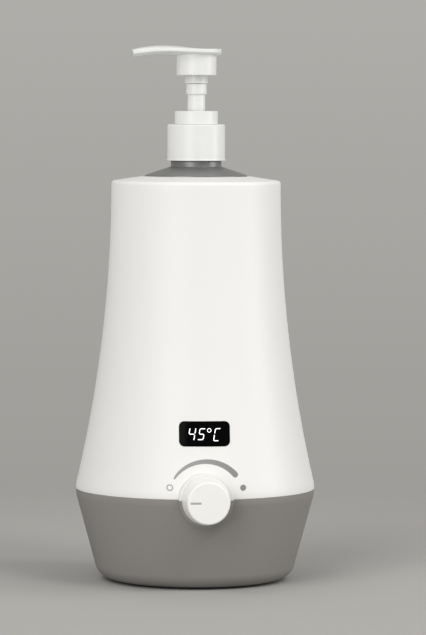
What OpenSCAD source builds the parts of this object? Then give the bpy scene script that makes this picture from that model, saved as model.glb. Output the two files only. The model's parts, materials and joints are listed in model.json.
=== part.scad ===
// Massage oil warmer: a flared heated stand that holds a bottle with a lotion pump.
// Millimetres. Z is up from the table, the display and knob face -Y, and the spout points to -X.

/* [Housing] */
// Height of the filling hole's rim above the table
housing_h = 226.7; // [215:0.1:245]
// Height of the seam between the upper housing and the base
seam_h = 51.5; // [48:0.1:58]
// Largest radius, at the seam
belly_r = 67; // [65:0.1:74]
// Radius that rounds the belly above and below the seam
belly_round = 20; // [12:0.5:28]
// Radius of the housing just under the crown
crown_r = 47.4; // [46:0.1:52]
// Fall of the crown from the hole's rim to its outer edge
crown_fall = 2.7; // [1:0.1:5]
// Edge radius of the crown
crown_edge_r = 2; // [1:0.1:3]
// Edge radius of the filling hole's rim
rim_edge_r = 0.8; // [0.4:0.1:1.2]
// Wall of the upper housing and the base
wall = 2.4; // [2:0.1:3]
// Height of the lap joint's tongue above the seam
lap_h = 4; // [2:0.5:6]
// Thickness of the tongue
lap_t = 1.4; // [1:0.1:2]

/* [Base] */
// Lean of the base's side, in degrees from upright
base_lean = 15.2; // [8:0.1:20]
// Radius of the base's lower edge
base_edge_r = 9.5; // [6:0.5:12]
// Height of the base's underside above the table
foot_stand = 1; // [0.6:0.1:2]
// Radius of the ring on which the screws and the ring foot lie
foot_ring_r = 41; // [39:0.5:42]
// Width of the ring foot
foot_w = 8; // [7.4:0.1:9]
// Depth of the groove that holds the ring foot
foot_groove = 1; // [0.5:0.1:1.4]
// Number of housing screws
screw_count = 4; // [3:1:4]
// Radius of a housing screw's shank
screw_r = 1.5; // [1.2:0.1:1.8]
// Length of a housing screw's shank
screw_len = 16; // [12:1:20]

/* [Display] */
// Height of the window's middle above the table
window_z = 87; // [80:0.5:110]
// Width of the window
window_w = 27.9; // [22:0.1:34]
// Height of the window
window_h = 13.6; // [10:0.1:18]
// Corner radius of the window
window_corner_r = 2.9; // [1.5:0.1:4]
// Thickness of the window
window_t = 1.6; // [1:0.1:1.8]
// Width of the digit display behind the window
digits_w = 23; // [18:0.5:26]
// Height of the digit display
digits_h = 10; // [7:0.5:12]
// Depth of the digit display
digits_d = 6; // [4:0.5:8]

/* [Knob] */
// Radius of the round boss that carries the knob
boss_r = 14.9; // [13.8:0.1:17]
// Stand of the boss's face out of the belly
boss_stand = 4.5; // [3:0.1:9]
// Radius of the knob at its back rim
knob_r = 13.3; // [12:0.1:15]
// Radius of the knob's face
knob_face_r = 11.5; // [10.5:0.1:13]
// Height of the knob
knob_h = 14; // [11:0.1:18]
// Wall of the knob
knob_wall = 1.8; // [1.2:0.1:2.4]
// Length of the pointer line
pointer_len = 5.9; // [4:0.1:7]
// Width of the pointer line
pointer_w = 1; // [0.6:0.1:1.6]
// Depth of the pointer line below the knob's face
pointer_sink = 0.2; // [0.1:0.05:0.4]
// Radius of the control's shaft
shaft_r = 3; // [2.5:0.1:3.2]

/* [Heater] */
// Depth of the bottle well below the rim
well_depth = 154.5; // [140:0.5:160]
// Wall of the well
well_wall = 1.2; // [0.8:0.1:2]
// Height of the heater band
heater_h = 64; // [40:1:90]
// Thickness of the heater band
heater_t = 1.4; // [0.8:0.1:2]
// Thickness of the insulation sleeve
sleeve_t = 3.4; // [2:0.1:5]

/* [Bottle] */
// Radius of the bottle's body
bottle_r = 28.7; // [27:0.1:30]
// Wall of the bottle
bottle_wall = 1.2; // [0.9:0.1:1.6]
// Rise of the shoulder from the body to the neck
shoulder_h = 4.8; // [3:0.1:8]
// Radius of the ring at the foot of the neck
neck_ring_r = 14.15; // [13.9:0.05:15]
// Height of the ring at the foot of the neck
neck_ring_h = 3.6; // [2:0.1:6]
// Radius of the neck under the cap
finish_r = 12.6; // [12:0.1:13]
// Height of the neck under the cap
finish_h = 16.4; // [14:0.1:18]
// Wall of the neck
finish_wall = 2.2; // [1.8:0.1:2.6]

/* [Pump] */
// Room for the screw thread between neck and cap
thread_room = 1.7; // [1.4:0.1:2]
// Wall of the cap
cap_wall = 1.85; // [1.4:0.05:2.4]
// Thickness of the cap's top
cap_top = 1.6; // [1.2:0.1:2.4]
// Radius of the collar above the cap
collar_r = 12.1; // [11:0.1:13]
// Height of the collar above the cap
collar_h = 7.3; // [6:0.1:9]
// Radius of the stem
stem_r = 4.93; // [4.6:0.01:5.2]
// Length of the stem between the collar and the stem's own ring
stem_len = 9.5; // [8:0.1:12]
// Height of the stem's own ring
stem_ring_h = 5.8; // [4:0.1:7]
// Height of the head's socket below the skirt
socket_h = 4.6; // [3:0.1:6]
// Wall of the head's socket
socket_wall = 1.45; // [1.2:0.05:1.6]
// Travel of the pump
stroke = 17; // [12:0.5:17]
// Radius of the head's skirt
skirt_r = 11.16; // [10.4:0.01:12]
// Height of the skirt up to the blade
skirt_h = 12.4; // [10:0.1:14]
// Wall of the skirt
skirt_wall = 1.5; // [1.2:0.1:2]
// Wall of the pump's cylinder
pump_wall = 1.2; // [1:0.1:1.4]
// Radius of the spring's wire
wire_r = 0.5; // [0.4:0.05:0.55]
// Number of the spring's curls
curls = 9; // [7:1:10]

/* [Blade] */
// Reach of the spout's tip from the middle of the head
spout_reach = 36.2; // [30:0.1:42]
// Radius of the blade's round back end
blade_r = 14; // [13:0.1:15]
// Half width of the spout's tip
tip_half_w = 5; // [4:0.1:7]
// Height of the wave's crest above the flat of the blade
crest_h = 1.7; // [1:0.1:3]
// Fall of the spout's tip below the flat of the blade
tip_fall = 0.5; // [0:0.1:1]
// Distance of the crest from the middle of the head
crest_x = 18; // [14:0.5:22]
// Height of the blade's edge
blade_edge = 2; // [1.2:0.1:2.4]
// Depth of the blade's rounded belly
blade_belly = 2.3; // [1.5:0.1:2.6]
// Radius of the spout's channel
channel_r = 1.1; // [0.8:0.05:1.2]

/* [Power] */
// Height of the power inlet above the table
inlet_z = 22; // [20:0.5:28]
// Radius of the inlet's barrel
inlet_r = 5.5; // [5:0.1:6]
// Radius of the inlet's socket
socket_r = 2.75; // [2.5:0.05:3]

/* [Clearances] */
// Radial clearance of a running or push fit
fit = 0.05; // [0.02:0.01:0.1]
// Clearance between flat faces that turn or lift apart
face_gap = 0.1; // [0.05:0.01:0.3]
// Clearance between the bottle and its well
bottle_gap = 0.6; // [0.4:0.1:1]
// Clearance between a knob or head and what it moves over
move_gap = 0.4; // [0.3:0.05:0.8]

/* [Hidden] */
$fn = 96;
arc_steps = 8;
edge_steps = 4;
flare_steps = 18;
// Overrun of a cut past the face it opens
cut = 1;
// Smallest radius drawn as an arc
least_r = 0.1;

// Points of an arc about [cx, cz] from angle a0 to a1
function arc(cx, cz, r, a0, a1, n = arc_steps) =
    [for (i = [0 : n]) let (a = a0 + (a1 - a0) * i / n) [cx + r * cos(a), cz + r * sin(a)]];
function reverse(list) = [for (i = [len(list) - 1 : -1 : 0]) list[i]];

// Outline of the housing: a belly arc at the seam runs tangent into the flare above it
// and into the base's cone below it, and an inner outline is the same arcs set in by a wall
hole_r = bottle_r + bottle_gap;
crown_lean = atan(crown_fall / (crown_r - hole_r));
crown_corner_z = housing_h - crown_fall;
crown_edge_z = crown_corner_z - crown_edge_r * (1 - sin(crown_lean)) / cos(crown_lean);
belly_cx = belly_r - belly_round;
boss_reach = belly_r + boss_stand;
flare_rise = crown_edge_z - seam_h;
flare_spread = belly_r - crown_r;
flare_span = (pow(flare_rise, 2) + pow(flare_spread, 2)) / (2 * flare_spread);
flare_round = flare_span - belly_round;
flare_cx = crown_r + flare_round;
flare_lean = asin(flare_rise / flare_span);

function belly_arc(inset, a0, a1) = arc(belly_cx, seam_h, belly_round - inset, a0, a1);
function flare_arc(inset) =
    arc(flare_cx, crown_edge_z, flare_round + inset, 180 + flare_lean, 180, flare_steps);
function crown_arc(inset) =
    arc(crown_r - crown_edge_r, crown_edge_z, max(crown_edge_r - inset, least_r), 0, 90 - crown_lean);
function flare_radius(z, inset = 0) =
    flare_cx - sqrt(pow(flare_round + inset, 2) - pow(crown_edge_z - z, 2));
// Height of the crown's surface, set in by a wall, at radius r
function crown_z(r, inset = 0) =
    crown_corner_z + (crown_r - r) * tan(crown_lean) - inset / cos(crown_lean);

belly_low = [belly_cx + belly_round * cos(base_lean), seam_h - belly_round * sin(base_lean)];
base_edge_z = foot_stand + base_edge_r;
base_edge_rise = sin(base_lean) * (base_edge_z - belly_low[1]);
base_edge_cx = belly_low[0] + (base_edge_rise - base_edge_r) / cos(base_lean);

function base_arc(inset) = arc(base_edge_cx, base_edge_z, base_edge_r - inset, -90, -base_lean);
function base_outline(inset) = concat([[0, foot_stand + inset]], base_arc(inset),
    belly_arc(inset, -base_lean, 0), [[0, seam_h]]);
function upper_outline(inset) = concat([[0, seam_h]], belly_arc(inset, 0, flare_lean),
    flare_arc(inset), [[0, crown_edge_z]]);
// Radius of the base's cone at height z, set in by a wall
function cone_radius(z, inset = 0) =
    belly_low[0] - (belly_low[1] - z) * tan(base_lean) - inset / cos(base_lean);

// Heights of the well, the bottle and the pump, from the rim upwards and downwards
well_floor_z = housing_h - well_depth;
well_base_z = well_floor_z - well_wall;
hole_collar_h = 8;
hole_collar_t = 2;
gasket_t = 1;
well_top_z = crown_z(hole_r) - hole_collar_h - gasket_t;
well_r = hole_r + well_wall;
well_flange_room = 3;
well_flange_r = crown_r - wall - well_flange_room;
well_screw_shift = 1;
well_screw_ring_r = (well_r + well_flange_r) / 2 + well_screw_shift;
well_post_r = 2.8;
small_screw_r = 1.2;
small_head_r = 2.2;
small_head_h = 1.6;
small_screw_len = 7;
well_screw_len = crown_z(well_screw_ring_r, wall) - well_top_z + well_wall;

bottle_z = well_floor_z + 2 * face_gap;
shoulder_z = housing_h + face_gap;
neck_z = shoulder_z + shoulder_h;
finish_z = neck_z + neck_ring_h;
finish_top_z = finish_z + finish_h;
pump_gasket_t = 1;
pump_flange_t = 1.3;
pump_flange_z = finish_top_z + pump_gasket_t;
pump_top_z = pump_flange_z + pump_flange_t;
cap_z = finish_z + face_gap;
cap_inner_z = pump_top_z + face_gap;
cap_top_z = cap_inner_z + cap_top;
cap_in_r = finish_r + thread_room;
cap_r = cap_in_r + cap_wall;
cap_lip = 0.25;
collar_z = cap_top_z + face_gap;
collar_top_z = collar_z + collar_h;
stem_ring_z = collar_top_z + stem_len;
socket_z = stem_ring_z + stem_ring_h;
skirt_z = socket_z + socket_h;
blade_z = skirt_z + skirt_h;

stem_ring_t = 0.8;
stem_ring_r = stem_r + stem_ring_t;
head_socket_r = stem_r + fit + socket_wall;
guide_wall = 2;
pump_bore_r = stem_r + fit + guide_wall + fit;
pump_out_r = pump_bore_r + pump_wall;
cap_hole_room = 2.4;
cap_hole_r = pump_bore_r + cap_hole_room;
finish_bore_r = finish_r - finish_wall;
guide_len = 12;
guide_z = pump_top_z - guide_len;
stem_below_guide = 4;
stem_z = guide_z - stem_below_guide;
stem_top_gap = 3;
stem_top_z = blade_z - stem_top_gap;
rod_r = 3;
rod_grip = 6;
rod_top_z = stem_z + rod_grip;
piston_h = 7;
piston_play_up = 1.5;
piston_play_down = 1;
piston_z = stem_z - piston_play_up - piston_h;
piston_top_z = piston_z + piston_h;
rod_flange_t = 1.5;
rod_flange_z = piston_z - piston_play_down - rod_flange_t;
rod_foot_h = 4;
rod_foot_t = 0.6;
rod_foot_r = rod_r + rod_foot_t;
rod_foot_z = rod_flange_z - rod_foot_h;
spring_room = 0.8;
spring_r = rod_foot_r + spring_room + wire_r;
spring_solid = 2 * wire_r * (curls + 1);
spring_spare = 4;
spring_z = rod_flange_z - stroke - spring_solid - spring_spare;
spring_len = rod_flange_z - spring_z - 2 * wire_r - 2 * fit;
ball_r = 2.6;
ball_room_r = 3.6;
ball_room_h = 7;
ball_seat_r = 1.9;
ball_seat_h = 2;
ball_room_z = spring_z - ball_room_h;
ball_seat_z = ball_room_z - ball_seat_h;
dip_r = 2.5;
dip_wall = 0.6;
dip_grip = 12;
seat_floor = 2;
dip_top_z = ball_seat_z - seat_floor;
dip_grip_z = dip_top_z - dip_grip;
dip_clear = 6;
dip_end_z = bottle_z + bottle_wall + dip_clear;

// Heights of the electronics, below and behind the knob and the window
pot_axis_h = 13.5;
board_t = 1.6;
board_top_z = seam_h - pot_axis_h;
board_z = board_top_z - board_t;
board_half_w = 23;
board_room = 2;
board_front = cone_radius(board_z, wall) - board_room;
inlet_recess_d = 4.5;
inlet_len = 14;
inlet_face = cone_radius(inlet_z) - inlet_recess_d;
inlet_back = inlet_face - inlet_len;
lead_room = 7.2;
board_back = inlet_back - lead_room;
standoff_x = 18;
standoff_in = 15;
standoff_front = board_front - standoff_in;
standoff_back = board_back - standoff_in / 2;
standoff_r = 3.2;
standoffs = [for (x = [-standoff_x, standoff_x], y = [-standoff_front, standoff_back]) [x, y]];
column_r = 4.6;
column_below_seam = 4;
column_top_z = seam_h - column_below_seam;
screw_seat_d = 8;
screw_seat_z = column_top_z - screw_seat_d;
screw_tip_z = screw_seat_z + screw_len;
screw_head_r = 2.8;
screw_head_h = 2.2;
post_r = 4;
post_cover = 2;
post_least = 5;
post_top_z = max(screw_tip_z + post_cover, seam_h + lap_h + post_least);
rib_t = 1.6;
screw_angles = [for (i = [0 : screw_count - 1]) 45 + 360 * i / screw_count];
foot_t = foot_stand + foot_groove;
foot_out_r = foot_ring_r + foot_w / 2;
foot_in_r = foot_ring_r - foot_w / 2;

bushing_wall = 0.5;
bushing_r = shaft_r + bushing_wall;
pot_r = 8;
pot_floor = 1.5;
boss_root = 1;
boss_back = flare_radius(seam_h + boss_r, wall) - boss_root;
pot_front = boss_reach - wall;
pot_back = boss_back - move_gap;
knob_y = boss_reach + move_gap;
knob_roof = 4;
pointer_t = 0.5;

window_ledge = 1.5;
window_bow = pow(window_w, 2) / (8 * flare_radius(window_z));
digits_gap = 1;
digits_front = flare_radius(window_z + window_h / 2, wall) - window_bow - digits_gap;
digits_back = digits_front - digits_d;
display_post_room = 4;
display_post_x = window_w / 2 + display_post_room;
display_post_r = 2.8;
display_board_side = 0.4;
display_board_rim = 4.5;
display_board_w = 2 * (display_post_x + display_post_r + display_board_side);
display_board_h = digits_h + 2 * display_board_rim;
display_board_t = 1.6;
display_back = digits_back - display_board_t;

heater_r = well_r + fit;
heater_lift = 14;
heater_z = well_floor_z + heater_lift;
heater_slit = 5;
sleeve_gap = 0.2;
sleeve_r = heater_r + heater_t + sleeve_gap;
sleeve_below_flange = 14;
sleeve_top_z = well_top_z - sleeve_below_flange;
sensor_r = 2.4;
sensor_h = 4;
sensor_x = 9;
fuse_r = 2;
fuse_len = 12;
fuse_y = -8;

inlet_pad_r = 10.5;
inlet_recess_r = 8;
inlet_plate_t = 3;
inlet_flange_t = 1.5;
inlet_flange_r = 7;
inlet_pin_r = 1.05;
inlet_socket_d = 9.5;
nut_r = 8;
nut_t = 2.5;

// Board parts as [x, y, width, depth, height]
block_in = 12;
heater_block = [9, board_back - block_in, 11, 9, 9];
sensor_block = [9, 4, 8, 6, 6];
display_block = [-6, -38, 12, 6, 7];
power_block = [-9, board_back - block_in, 11, 9, 9];
regulator = [-13, 2, 10, 5, 14];
capacitor_r = 5;
capacitor_h = 12;
capacitor_at = [12, -18];
chip = [-8, -16, 9, 9, 1.8];
lead_r = 0.8;
lead_sides = 8;
lead_pitch = 5;
ribbon_w = 8;
ribbon_t = 0.8;

// A solid of revolution about Z from points [radius, height]
module spin(points) {
    rotate_extrude() polygon(points);
}

module tube(r_out, r_in, z0, z1) {
    spin([[r_in, z0], [r_out, z0], [r_out, z1], [r_in, z1]]);
}

// Sets its children, drawn upwards, to stand out of the front with their foot at distance y
module front(y, z = seam_h) {
    translate([0, -y, z]) rotate([90, 0, 0]) children();
}

// Sets its children, drawn upwards, to stand out of the back with their foot at distance y
module back(y, z) {
    translate([0, y, z]) rotate([-90, 0, 0]) children();
}

module rounded_rect(w, h, r) {
    square([w - 2 * r, h], center = true);
    square([w, h - 2 * r], center = true);
    for (x = [-1, 1], y = [-1, 1]) translate([x * (w / 2 - r), y * (h / 2 - r)]) circle(r);
}

// A block on the board's top, from its [x, y, width, depth, height]
module on_board(b) {
    translate([b[0] - b[2] / 2, b[1] - b[3] / 2, board_top_z]) cube([b[2], b[3], b[4]]);
}

// A round-headed screw that points up, its head's seat at the origin
module screw_up(shank_r, shank_len, head_r, head_h) {
    round = 0.6 * head_h;
    tip_r = 0.4 * shank_r;
    spin(concat([[0, -head_h]], arc(head_r - round, round - head_h, round, -90, 0),
        [[head_r, 0], [shank_r, 0], [shank_r, shank_len - shank_r], [tip_r, shank_len], [0, shank_len]]));
}

// A round tube swept along a path, closed at both ends
function unit(v) = v / norm(v);
function tangent(path, i) = unit(path[min(i + 1, len(path) - 1)] - path[max(i - 1, 0)]);
function ring_points(path, i, r, sides, aside) =
    let (t = tangent(path, i), u = unit(cross(t, aside)), v = cross(t, u))
    [for (k = [0 : sides - 1]) path[i] + r * (cos(360 * k / sides) * u + sin(360 * k / sides) * v)];
module sweep(path, r, sides, aside) {
    n = len(path);
    points = [for (i = [0 : n - 1]) each ring_points(path, i, r, sides, aside)];
    skin = [for (i = [0 : n - 2], k = [0 : sides - 1])
        let (a = i * sides + k, b = i * sides + (k + 1) % sides)
        each [[a, a + sides, b], [b, a + sides, b + sides]]];
    first_end = [for (k = [1 : sides - 2]) [0, k, k + 1]];
    last = (n - 1) * sides;
    last_end = [for (k = [1 : sides - 2]) [last, last + k + 1, last + k]];
    polyhedron(points, concat(skin, first_end, last_end), convexity = 6);
}

// A cubic curve from p0 to p3 that leaves and arrives along its handles p1 and p2
function curve(p0, p1, p2, p3, n = 12) = [for (i = [0 : n]) let (t = i / n, s = 1 - t)
    s * s * s * p0 + 3 * s * s * t * p1 + 3 * s * t * t * p2 + t * t * t * p3];

// The boss that carries the knob, solid, as seen from the front
module boss_solid() {
    length = boss_reach - boss_back;
    edge = 0.6;
    front(boss_back) spin(concat([[0, 0], [boss_r, 0]],
        arc(boss_r - edge, length - edge, edge, 0, 90, edge_steps), [[0, length]]));
}

module boss_bore() {
    front(boss_back - wall) cylinder(r = boss_r - wall, h = pot_front - boss_back + wall);
    front(boss_back) cylinder(r = bushing_r + face_gap, h = boss_reach);
}

// All space above or below the seam
module seam_half(side) {
    span = 4 * belly_r;
    translate([-span / 2, -span / 2, side > 0 ? seam_h : seam_h - span]) cube(span);
}

// A block cut from the flare between two insets by a rounded outline, for the window and its seat
module window_block(grow, outer_inset, inner_inset) {
    intersection() {
        spin(concat(flare_arc(outer_inset), reverse(flare_arc(inner_inset))));
        front(0, window_z) linear_extrude(2 * belly_r)
            rounded_rect(window_w + 2 * grow, window_h + 2 * grow, window_corner_r + grow);
    }
}

module at_screws() {
    for (a = screw_angles) rotate(a) translate([foot_ring_r, 0, 0]) children();
}

module at_well_screws() {
    for (a = [90, 210, 330]) rotate(a) translate([well_screw_ring_r, 0, 0]) children();
}

module at_display_screws() {
    for (x = [-display_post_x, display_post_x]) translate([x, 0, 0])
        front(digits_back, window_z) children();
}

module upper_shell() {
    rim_cx = hole_r + rim_edge_r;
    collar_out = hole_r + hole_collar_t;
    collar_low_z = crown_z(hole_r) - hole_collar_h;
    corner_r = crown_r - wall - least_r;
    spin(concat(belly_arc(0, 0, flare_lean), flare_arc(0), crown_arc(0),
        arc(rim_cx, crown_z(rim_cx) - rim_edge_r, rim_edge_r, 90 - crown_lean, 180),
        [[hole_r, collar_low_z], [collar_out, collar_low_z], [collar_out, crown_z(collar_out, wall)],
        [corner_r, crown_z(corner_r, wall)]],
        reverse(flare_arc(wall)), belly_arc(wall, flare_lean, 0)));
}

// Posts that the housing screws bite into, each tied to the wall by a rib
module upper_posts() {
    rib_z = seam_h + lap_h + cut;
    at_screws() translate([0, 0, column_top_z]) cylinder(r = post_r, h = post_top_z - column_top_z);
    intersection() {
        spin(upper_outline(wall / 2));
        at_screws() translate([0, -rib_t / 2, rib_z]) cube([belly_r, rib_t, post_top_z - rib_z]);
    }
}

// Posts under the crown for the well's flange, and behind the window for the display's board
module inner_posts() {
    room_r = crown_r - wall / 2;
    intersection() {
        spin([[0, well_top_z], [room_r, well_top_z], [room_r, crown_z(room_r, wall / 2)],
            [0, crown_z(0, wall / 2)]]);
        at_well_screws() translate([0, 0, well_top_z]) cylinder(r = well_post_r, h = housing_h);
    }
    intersection() {
        spin(upper_outline(wall / 2));
        at_display_screws() cylinder(r = display_post_r, h = belly_r);
    }
}

module upper_housing() {
    color("#f1f1ee") difference() {
        union() {
            upper_shell();
            intersection() {
                boss_solid();
                seam_half(1);
            }
            upper_posts();
            inner_posts();
        }
        boss_bore();
        window_block(face_gap, -cut, window_t);
        front(0, window_z) linear_extrude(2 * belly_r)
            rounded_rect(window_w - 2 * window_ledge, window_h - 2 * window_ledge, window_corner_r / 2);
        at_screws() translate([0, 0, column_top_z - cut])
            cylinder(r = screw_r + fit, h = screw_tip_z - column_top_z + 2 * cut);
        at_well_screws() translate([0, 0, well_top_z - well_wall])
            cylinder(r = small_screw_r + fit, h = well_screw_len + face_gap);
        at_display_screws() translate([0, 0, -cut]) cylinder(r = small_screw_r + fit, h = small_screw_len);
    }
}

module base_shell() {
    tongue_r = belly_cx + sqrt(pow(belly_round - wall, 2) - pow(lap_h, 2)) - face_gap;
    tongue_in_r = tongue_r - lap_t;
    gap_w = 2 * (boss_r + cut);
    difference() {
        union() {
            spin(concat(base_arc(0), belly_arc(0, -base_lean, 0), belly_arc(wall, 0, -base_lean),
                reverse(base_arc(wall)), [[0, foot_stand + wall], [0, foot_stand]]));
            difference() {
                intersection() {
                    tube(tongue_r, tongue_in_r, seam_h - 3 * lap_h, seam_h + lap_h);
                    union() {
                        spin(base_outline(wall / 2));
                        tube(tongue_r, tongue_in_r, seam_h, seam_h + lap_h);
                    }
                }
                translate([-gap_w / 2, -2 * belly_r, 0]) cube([gap_w, 2 * belly_r, housing_h]);
            }
        }
        tube(foot_out_r + face_gap, foot_in_r - face_gap, 0, foot_t);
    }
}

module base_housing() {
    floor_z = foot_stand + wall / 2;
    color("#7b7976") difference() {
        union() {
            base_shell();
            intersection() {
                boss_solid();
                seam_half(-1);
            }
            at_screws() translate([0, 0, foot_t]) cylinder(r = column_r, h = column_top_z - foot_t);
            for (p = standoffs) translate([p[0], p[1], floor_z])
                cylinder(r = standoff_r, h = board_z - floor_z);
            intersection() {
                spin(base_outline(wall / 2));
                back(inlet_face - inlet_plate_t, inlet_z) cylinder(r = inlet_pad_r, h = belly_r);
            }
        }
        boss_bore();
        at_screws() cylinder(r = screw_r + face_gap, h = column_top_z + cut);
        at_screws() cylinder(r = screw_head_r + face_gap, h = screw_seat_z);
        for (p = standoffs) translate([p[0], p[1], board_z - small_screw_len])
            cylinder(r = small_screw_r + fit, h = small_screw_len + cut);
        back(inlet_face, inlet_z) cylinder(r = inlet_recess_r, h = belly_r);
        back(0, inlet_z) cylinder(r = inlet_r + face_gap, h = belly_r);
    }
}

module housing_screws() {
    color("#8d9093") at_screws() translate([0, 0, screw_seat_z])
        screw_up(screw_r, screw_len, screw_head_r, screw_head_h);
}

module ring_foot() {
    edge = 0.4;
    color("#3a3a3a") spin(concat(arc(foot_in_r + edge, edge, edge, 180, 270, edge_steps),
        arc(foot_out_r - edge, edge, edge, 270, 360, edge_steps),
        [[foot_out_r, foot_t], [foot_in_r, foot_t]]));
}

module display_window() {
    color("#111214") window_block(0, 0, window_t);
}

module digit_display() {
    corner_r = 0.6;
    color("#1b1c1f") front(digits_back, window_z) linear_extrude(digits_d)
        rounded_rect(digits_w, digits_h, corner_r);
}

module display_board() {
    corner_r = 1.5;
    color("#2f6b3f") difference() {
        front(display_back, window_z) linear_extrude(display_board_t)
            rounded_rect(display_board_w, display_board_h, corner_r);
        at_display_screws() translate([0, 0, -belly_r])
            cylinder(r = small_screw_r + face_gap, h = 2 * belly_r);
    }
}

module display_screws() {
    color("#8d9093") at_display_screws() translate([0, 0, -display_board_t])
        screw_up(small_screw_r, small_screw_len, small_head_r, small_head_h);
}

// The rotary control: a round body behind the boss, its bushing, and a bent foot on the board
module potentiometer() {
    plate = 1;
    half_w = 6;
    foot_d = 9;
    bracket_over = 4;
    color("#9a9c9e") difference() {
        union() {
            front(pot_back) cylinder(r = pot_r, h = pot_front - pot_back);
            front(pot_front) cylinder(r = bushing_r, h = wall + move_gap / 2);
            translate([-half_w, -pot_back, board_top_z])
                cube([2 * half_w, plate, pot_axis_h + bracket_over]);
            translate([-half_w, -pot_back, board_top_z]) cube([2 * half_w, foot_d, plate]);
        }
        front(pot_back + pot_floor) cylinder(r = shaft_r + fit, h = belly_r);
    }
}

module pot_shaft() {
    edge = 0.5;
    foot = pot_back + pot_floor + face_gap;
    length = knob_y + knob_h - knob_roof - edge - foot;
    color("#c9cacb") front(foot)
        spin([[0, 0], [shaft_r, 0], [shaft_r, length - edge], [shaft_r - edge, length], [0, length]]);
}

// The pointer's inlay, sunk in the knob's face at nine o'clock
module pointer_block(grow) {
    pointer_at = 0.6 * knob_face_r;
    translate([-pointer_at, 0, knob_h - pointer_t - grow]) linear_extrude(cut + grow)
        rounded_rect(pointer_len + 2 * grow, pointer_w + 2 * grow, pointer_w / 3);
}

// The knob stands out of the front: a hollow cone with a hub for the shaft
module knob() {
    edge = 1;
    rim_edge = 0.3;
    hub_r = shaft_r + 2.5;
    face_t = 2.4;
    lean = atan((knob_r - knob_face_r) / knob_h);
    hollow_h = knob_h - face_t;
    mouth_r = knob_r - knob_wall;
    color("#f1f1ee") front(knob_y) difference() {
        spin(concat([[0, 0], [knob_r - rim_edge, 0], [knob_r, rim_edge]],
            arc(knob_face_r + edge * sin(lean) - edge, knob_h - edge, edge, lean, 90), [[0, knob_h]]));
        spin([[hub_r, -cut], [mouth_r, -cut], [mouth_r, 0], [knob_face_r - knob_wall, hollow_h],
            [hub_r, hollow_h]]);
        translate([0, 0, -cut]) cylinder(r = shaft_r + fit, h = knob_h - knob_roof + cut);
        pointer_block(fit);
    }
}

module knob_pointer() {
    color("#8f8f8d") front(knob_y) intersection() {
        pointer_block(0);
        cylinder(r = knob_r, h = knob_h - pointer_sink);
    }
}

module control_board() {
    color("#2f6b3f") difference() {
        translate([0, 0, board_z]) linear_extrude(board_t) intersection() {
            circle(board_front);
            translate([-board_half_w, -board_front])
                square([2 * board_half_w, board_front + board_back]);
        }
        for (p = standoffs) translate([p[0], p[1], 0])
            cylinder(r = small_screw_r + face_gap, h = housing_h);
    }
}

// Terminal blocks, a connector, a regulator, a chip and a capacitor, each standing on the board
module board_parts() {
    color("#2a2c30") {
        for (b = [heater_block, sensor_block, display_block, power_block, regulator, chip]) on_board(b);
        translate([capacitor_at[0], capacitor_at[1], board_top_z])
            cylinder(r = capacitor_r, h = capacitor_h);
    }
}

module board_screws() {
    color("#8d9093") for (p = standoffs) translate([p[0], p[1], board_top_z]) rotate([180, 0, 0])
        screw_up(small_screw_r, small_screw_len, small_head_r, small_head_h);
}

// The drawn cup that the bottle stands in, hung by its flange under the crown
module heater_well() {
    edge = 3;
    flange_z = well_top_z - well_wall;
    color("#c4c6c8") difference() {
        spin(concat([[0, well_base_z]], arc(well_r - edge, well_base_z + edge, edge, -90, 0),
            [[well_r, flange_z], [well_flange_r, flange_z],
            [well_flange_r, well_top_z], [hole_r, well_top_z]],
            arc(well_r - edge, well_base_z + edge, edge - well_wall, 0, -90), [[0, well_floor_z]]));
        at_well_screws() cylinder(r = small_screw_r + face_gap, h = housing_h);
    }
}

module well_gasket() {
    color("#b9b4ac") tube(hole_r + hole_collar_t, hole_r, well_top_z, well_top_z + gasket_t);
}

module well_screws() {
    color("#8d9093") at_well_screws() translate([0, 0, well_top_z - well_wall])
        screw_up(small_screw_r, well_screw_len, small_head_r, small_head_h);
}

// The heating mat wrapped round the well, open at its slit behind
module heater_band() {
    color("#b5532f") difference() {
        tube(heater_r + heater_t, heater_r, heater_z, heater_z + heater_h);
        translate([-heater_slit / 2, 0, heater_z - cut])
            cube([heater_slit, 2 * heater_r, heater_h + 2 * cut]);
    }
}

module insulation_sleeve() {
    color("#d8d4c8") tube(sleeve_r + sleeve_t, sleeve_r, heater_z, sleeve_top_z);
}

module temperature_sensor() {
    color("#33363a") translate([sensor_x, 0, well_base_z - fit - sensor_h])
        cylinder(r = sensor_r, h = sensor_h);
}

module thermal_fuse() {
    color("#c8c2b0") translate([-fuse_len / 2, fuse_y, well_base_z - fit - fuse_r]) rotate([0, 90, 0])
        cylinder(r = fuse_r, h = fuse_len);
}

// Barrel socket, pushed in from outside and held by a nut
module power_inlet() {
    pin_below = 1;
    color("#202124") difference() {
        union() {
            back(inlet_back, inlet_z) cylinder(r = inlet_r, h = inlet_len);
            back(inlet_face, inlet_z) cylinder(r = inlet_flange_r, h = inlet_flange_t);
        }
        back(inlet_face + inlet_flange_t - inlet_socket_d, inlet_z) difference() {
            cylinder(r = socket_r, h = inlet_socket_d + cut);
            cylinder(r = inlet_pin_r, h = inlet_socket_d - pin_below);
        }
    }
}

module inlet_nut() {
    color("#8d9093") back(inlet_face - inlet_plate_t - nut_t, inlet_z) difference() {
        cylinder(r = nut_r, h = nut_t, $fn = 6);
        translate([0, 0, -cut]) cylinder(r = inlet_r + fit, h = nut_t + 2 * cut);
    }
}

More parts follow.
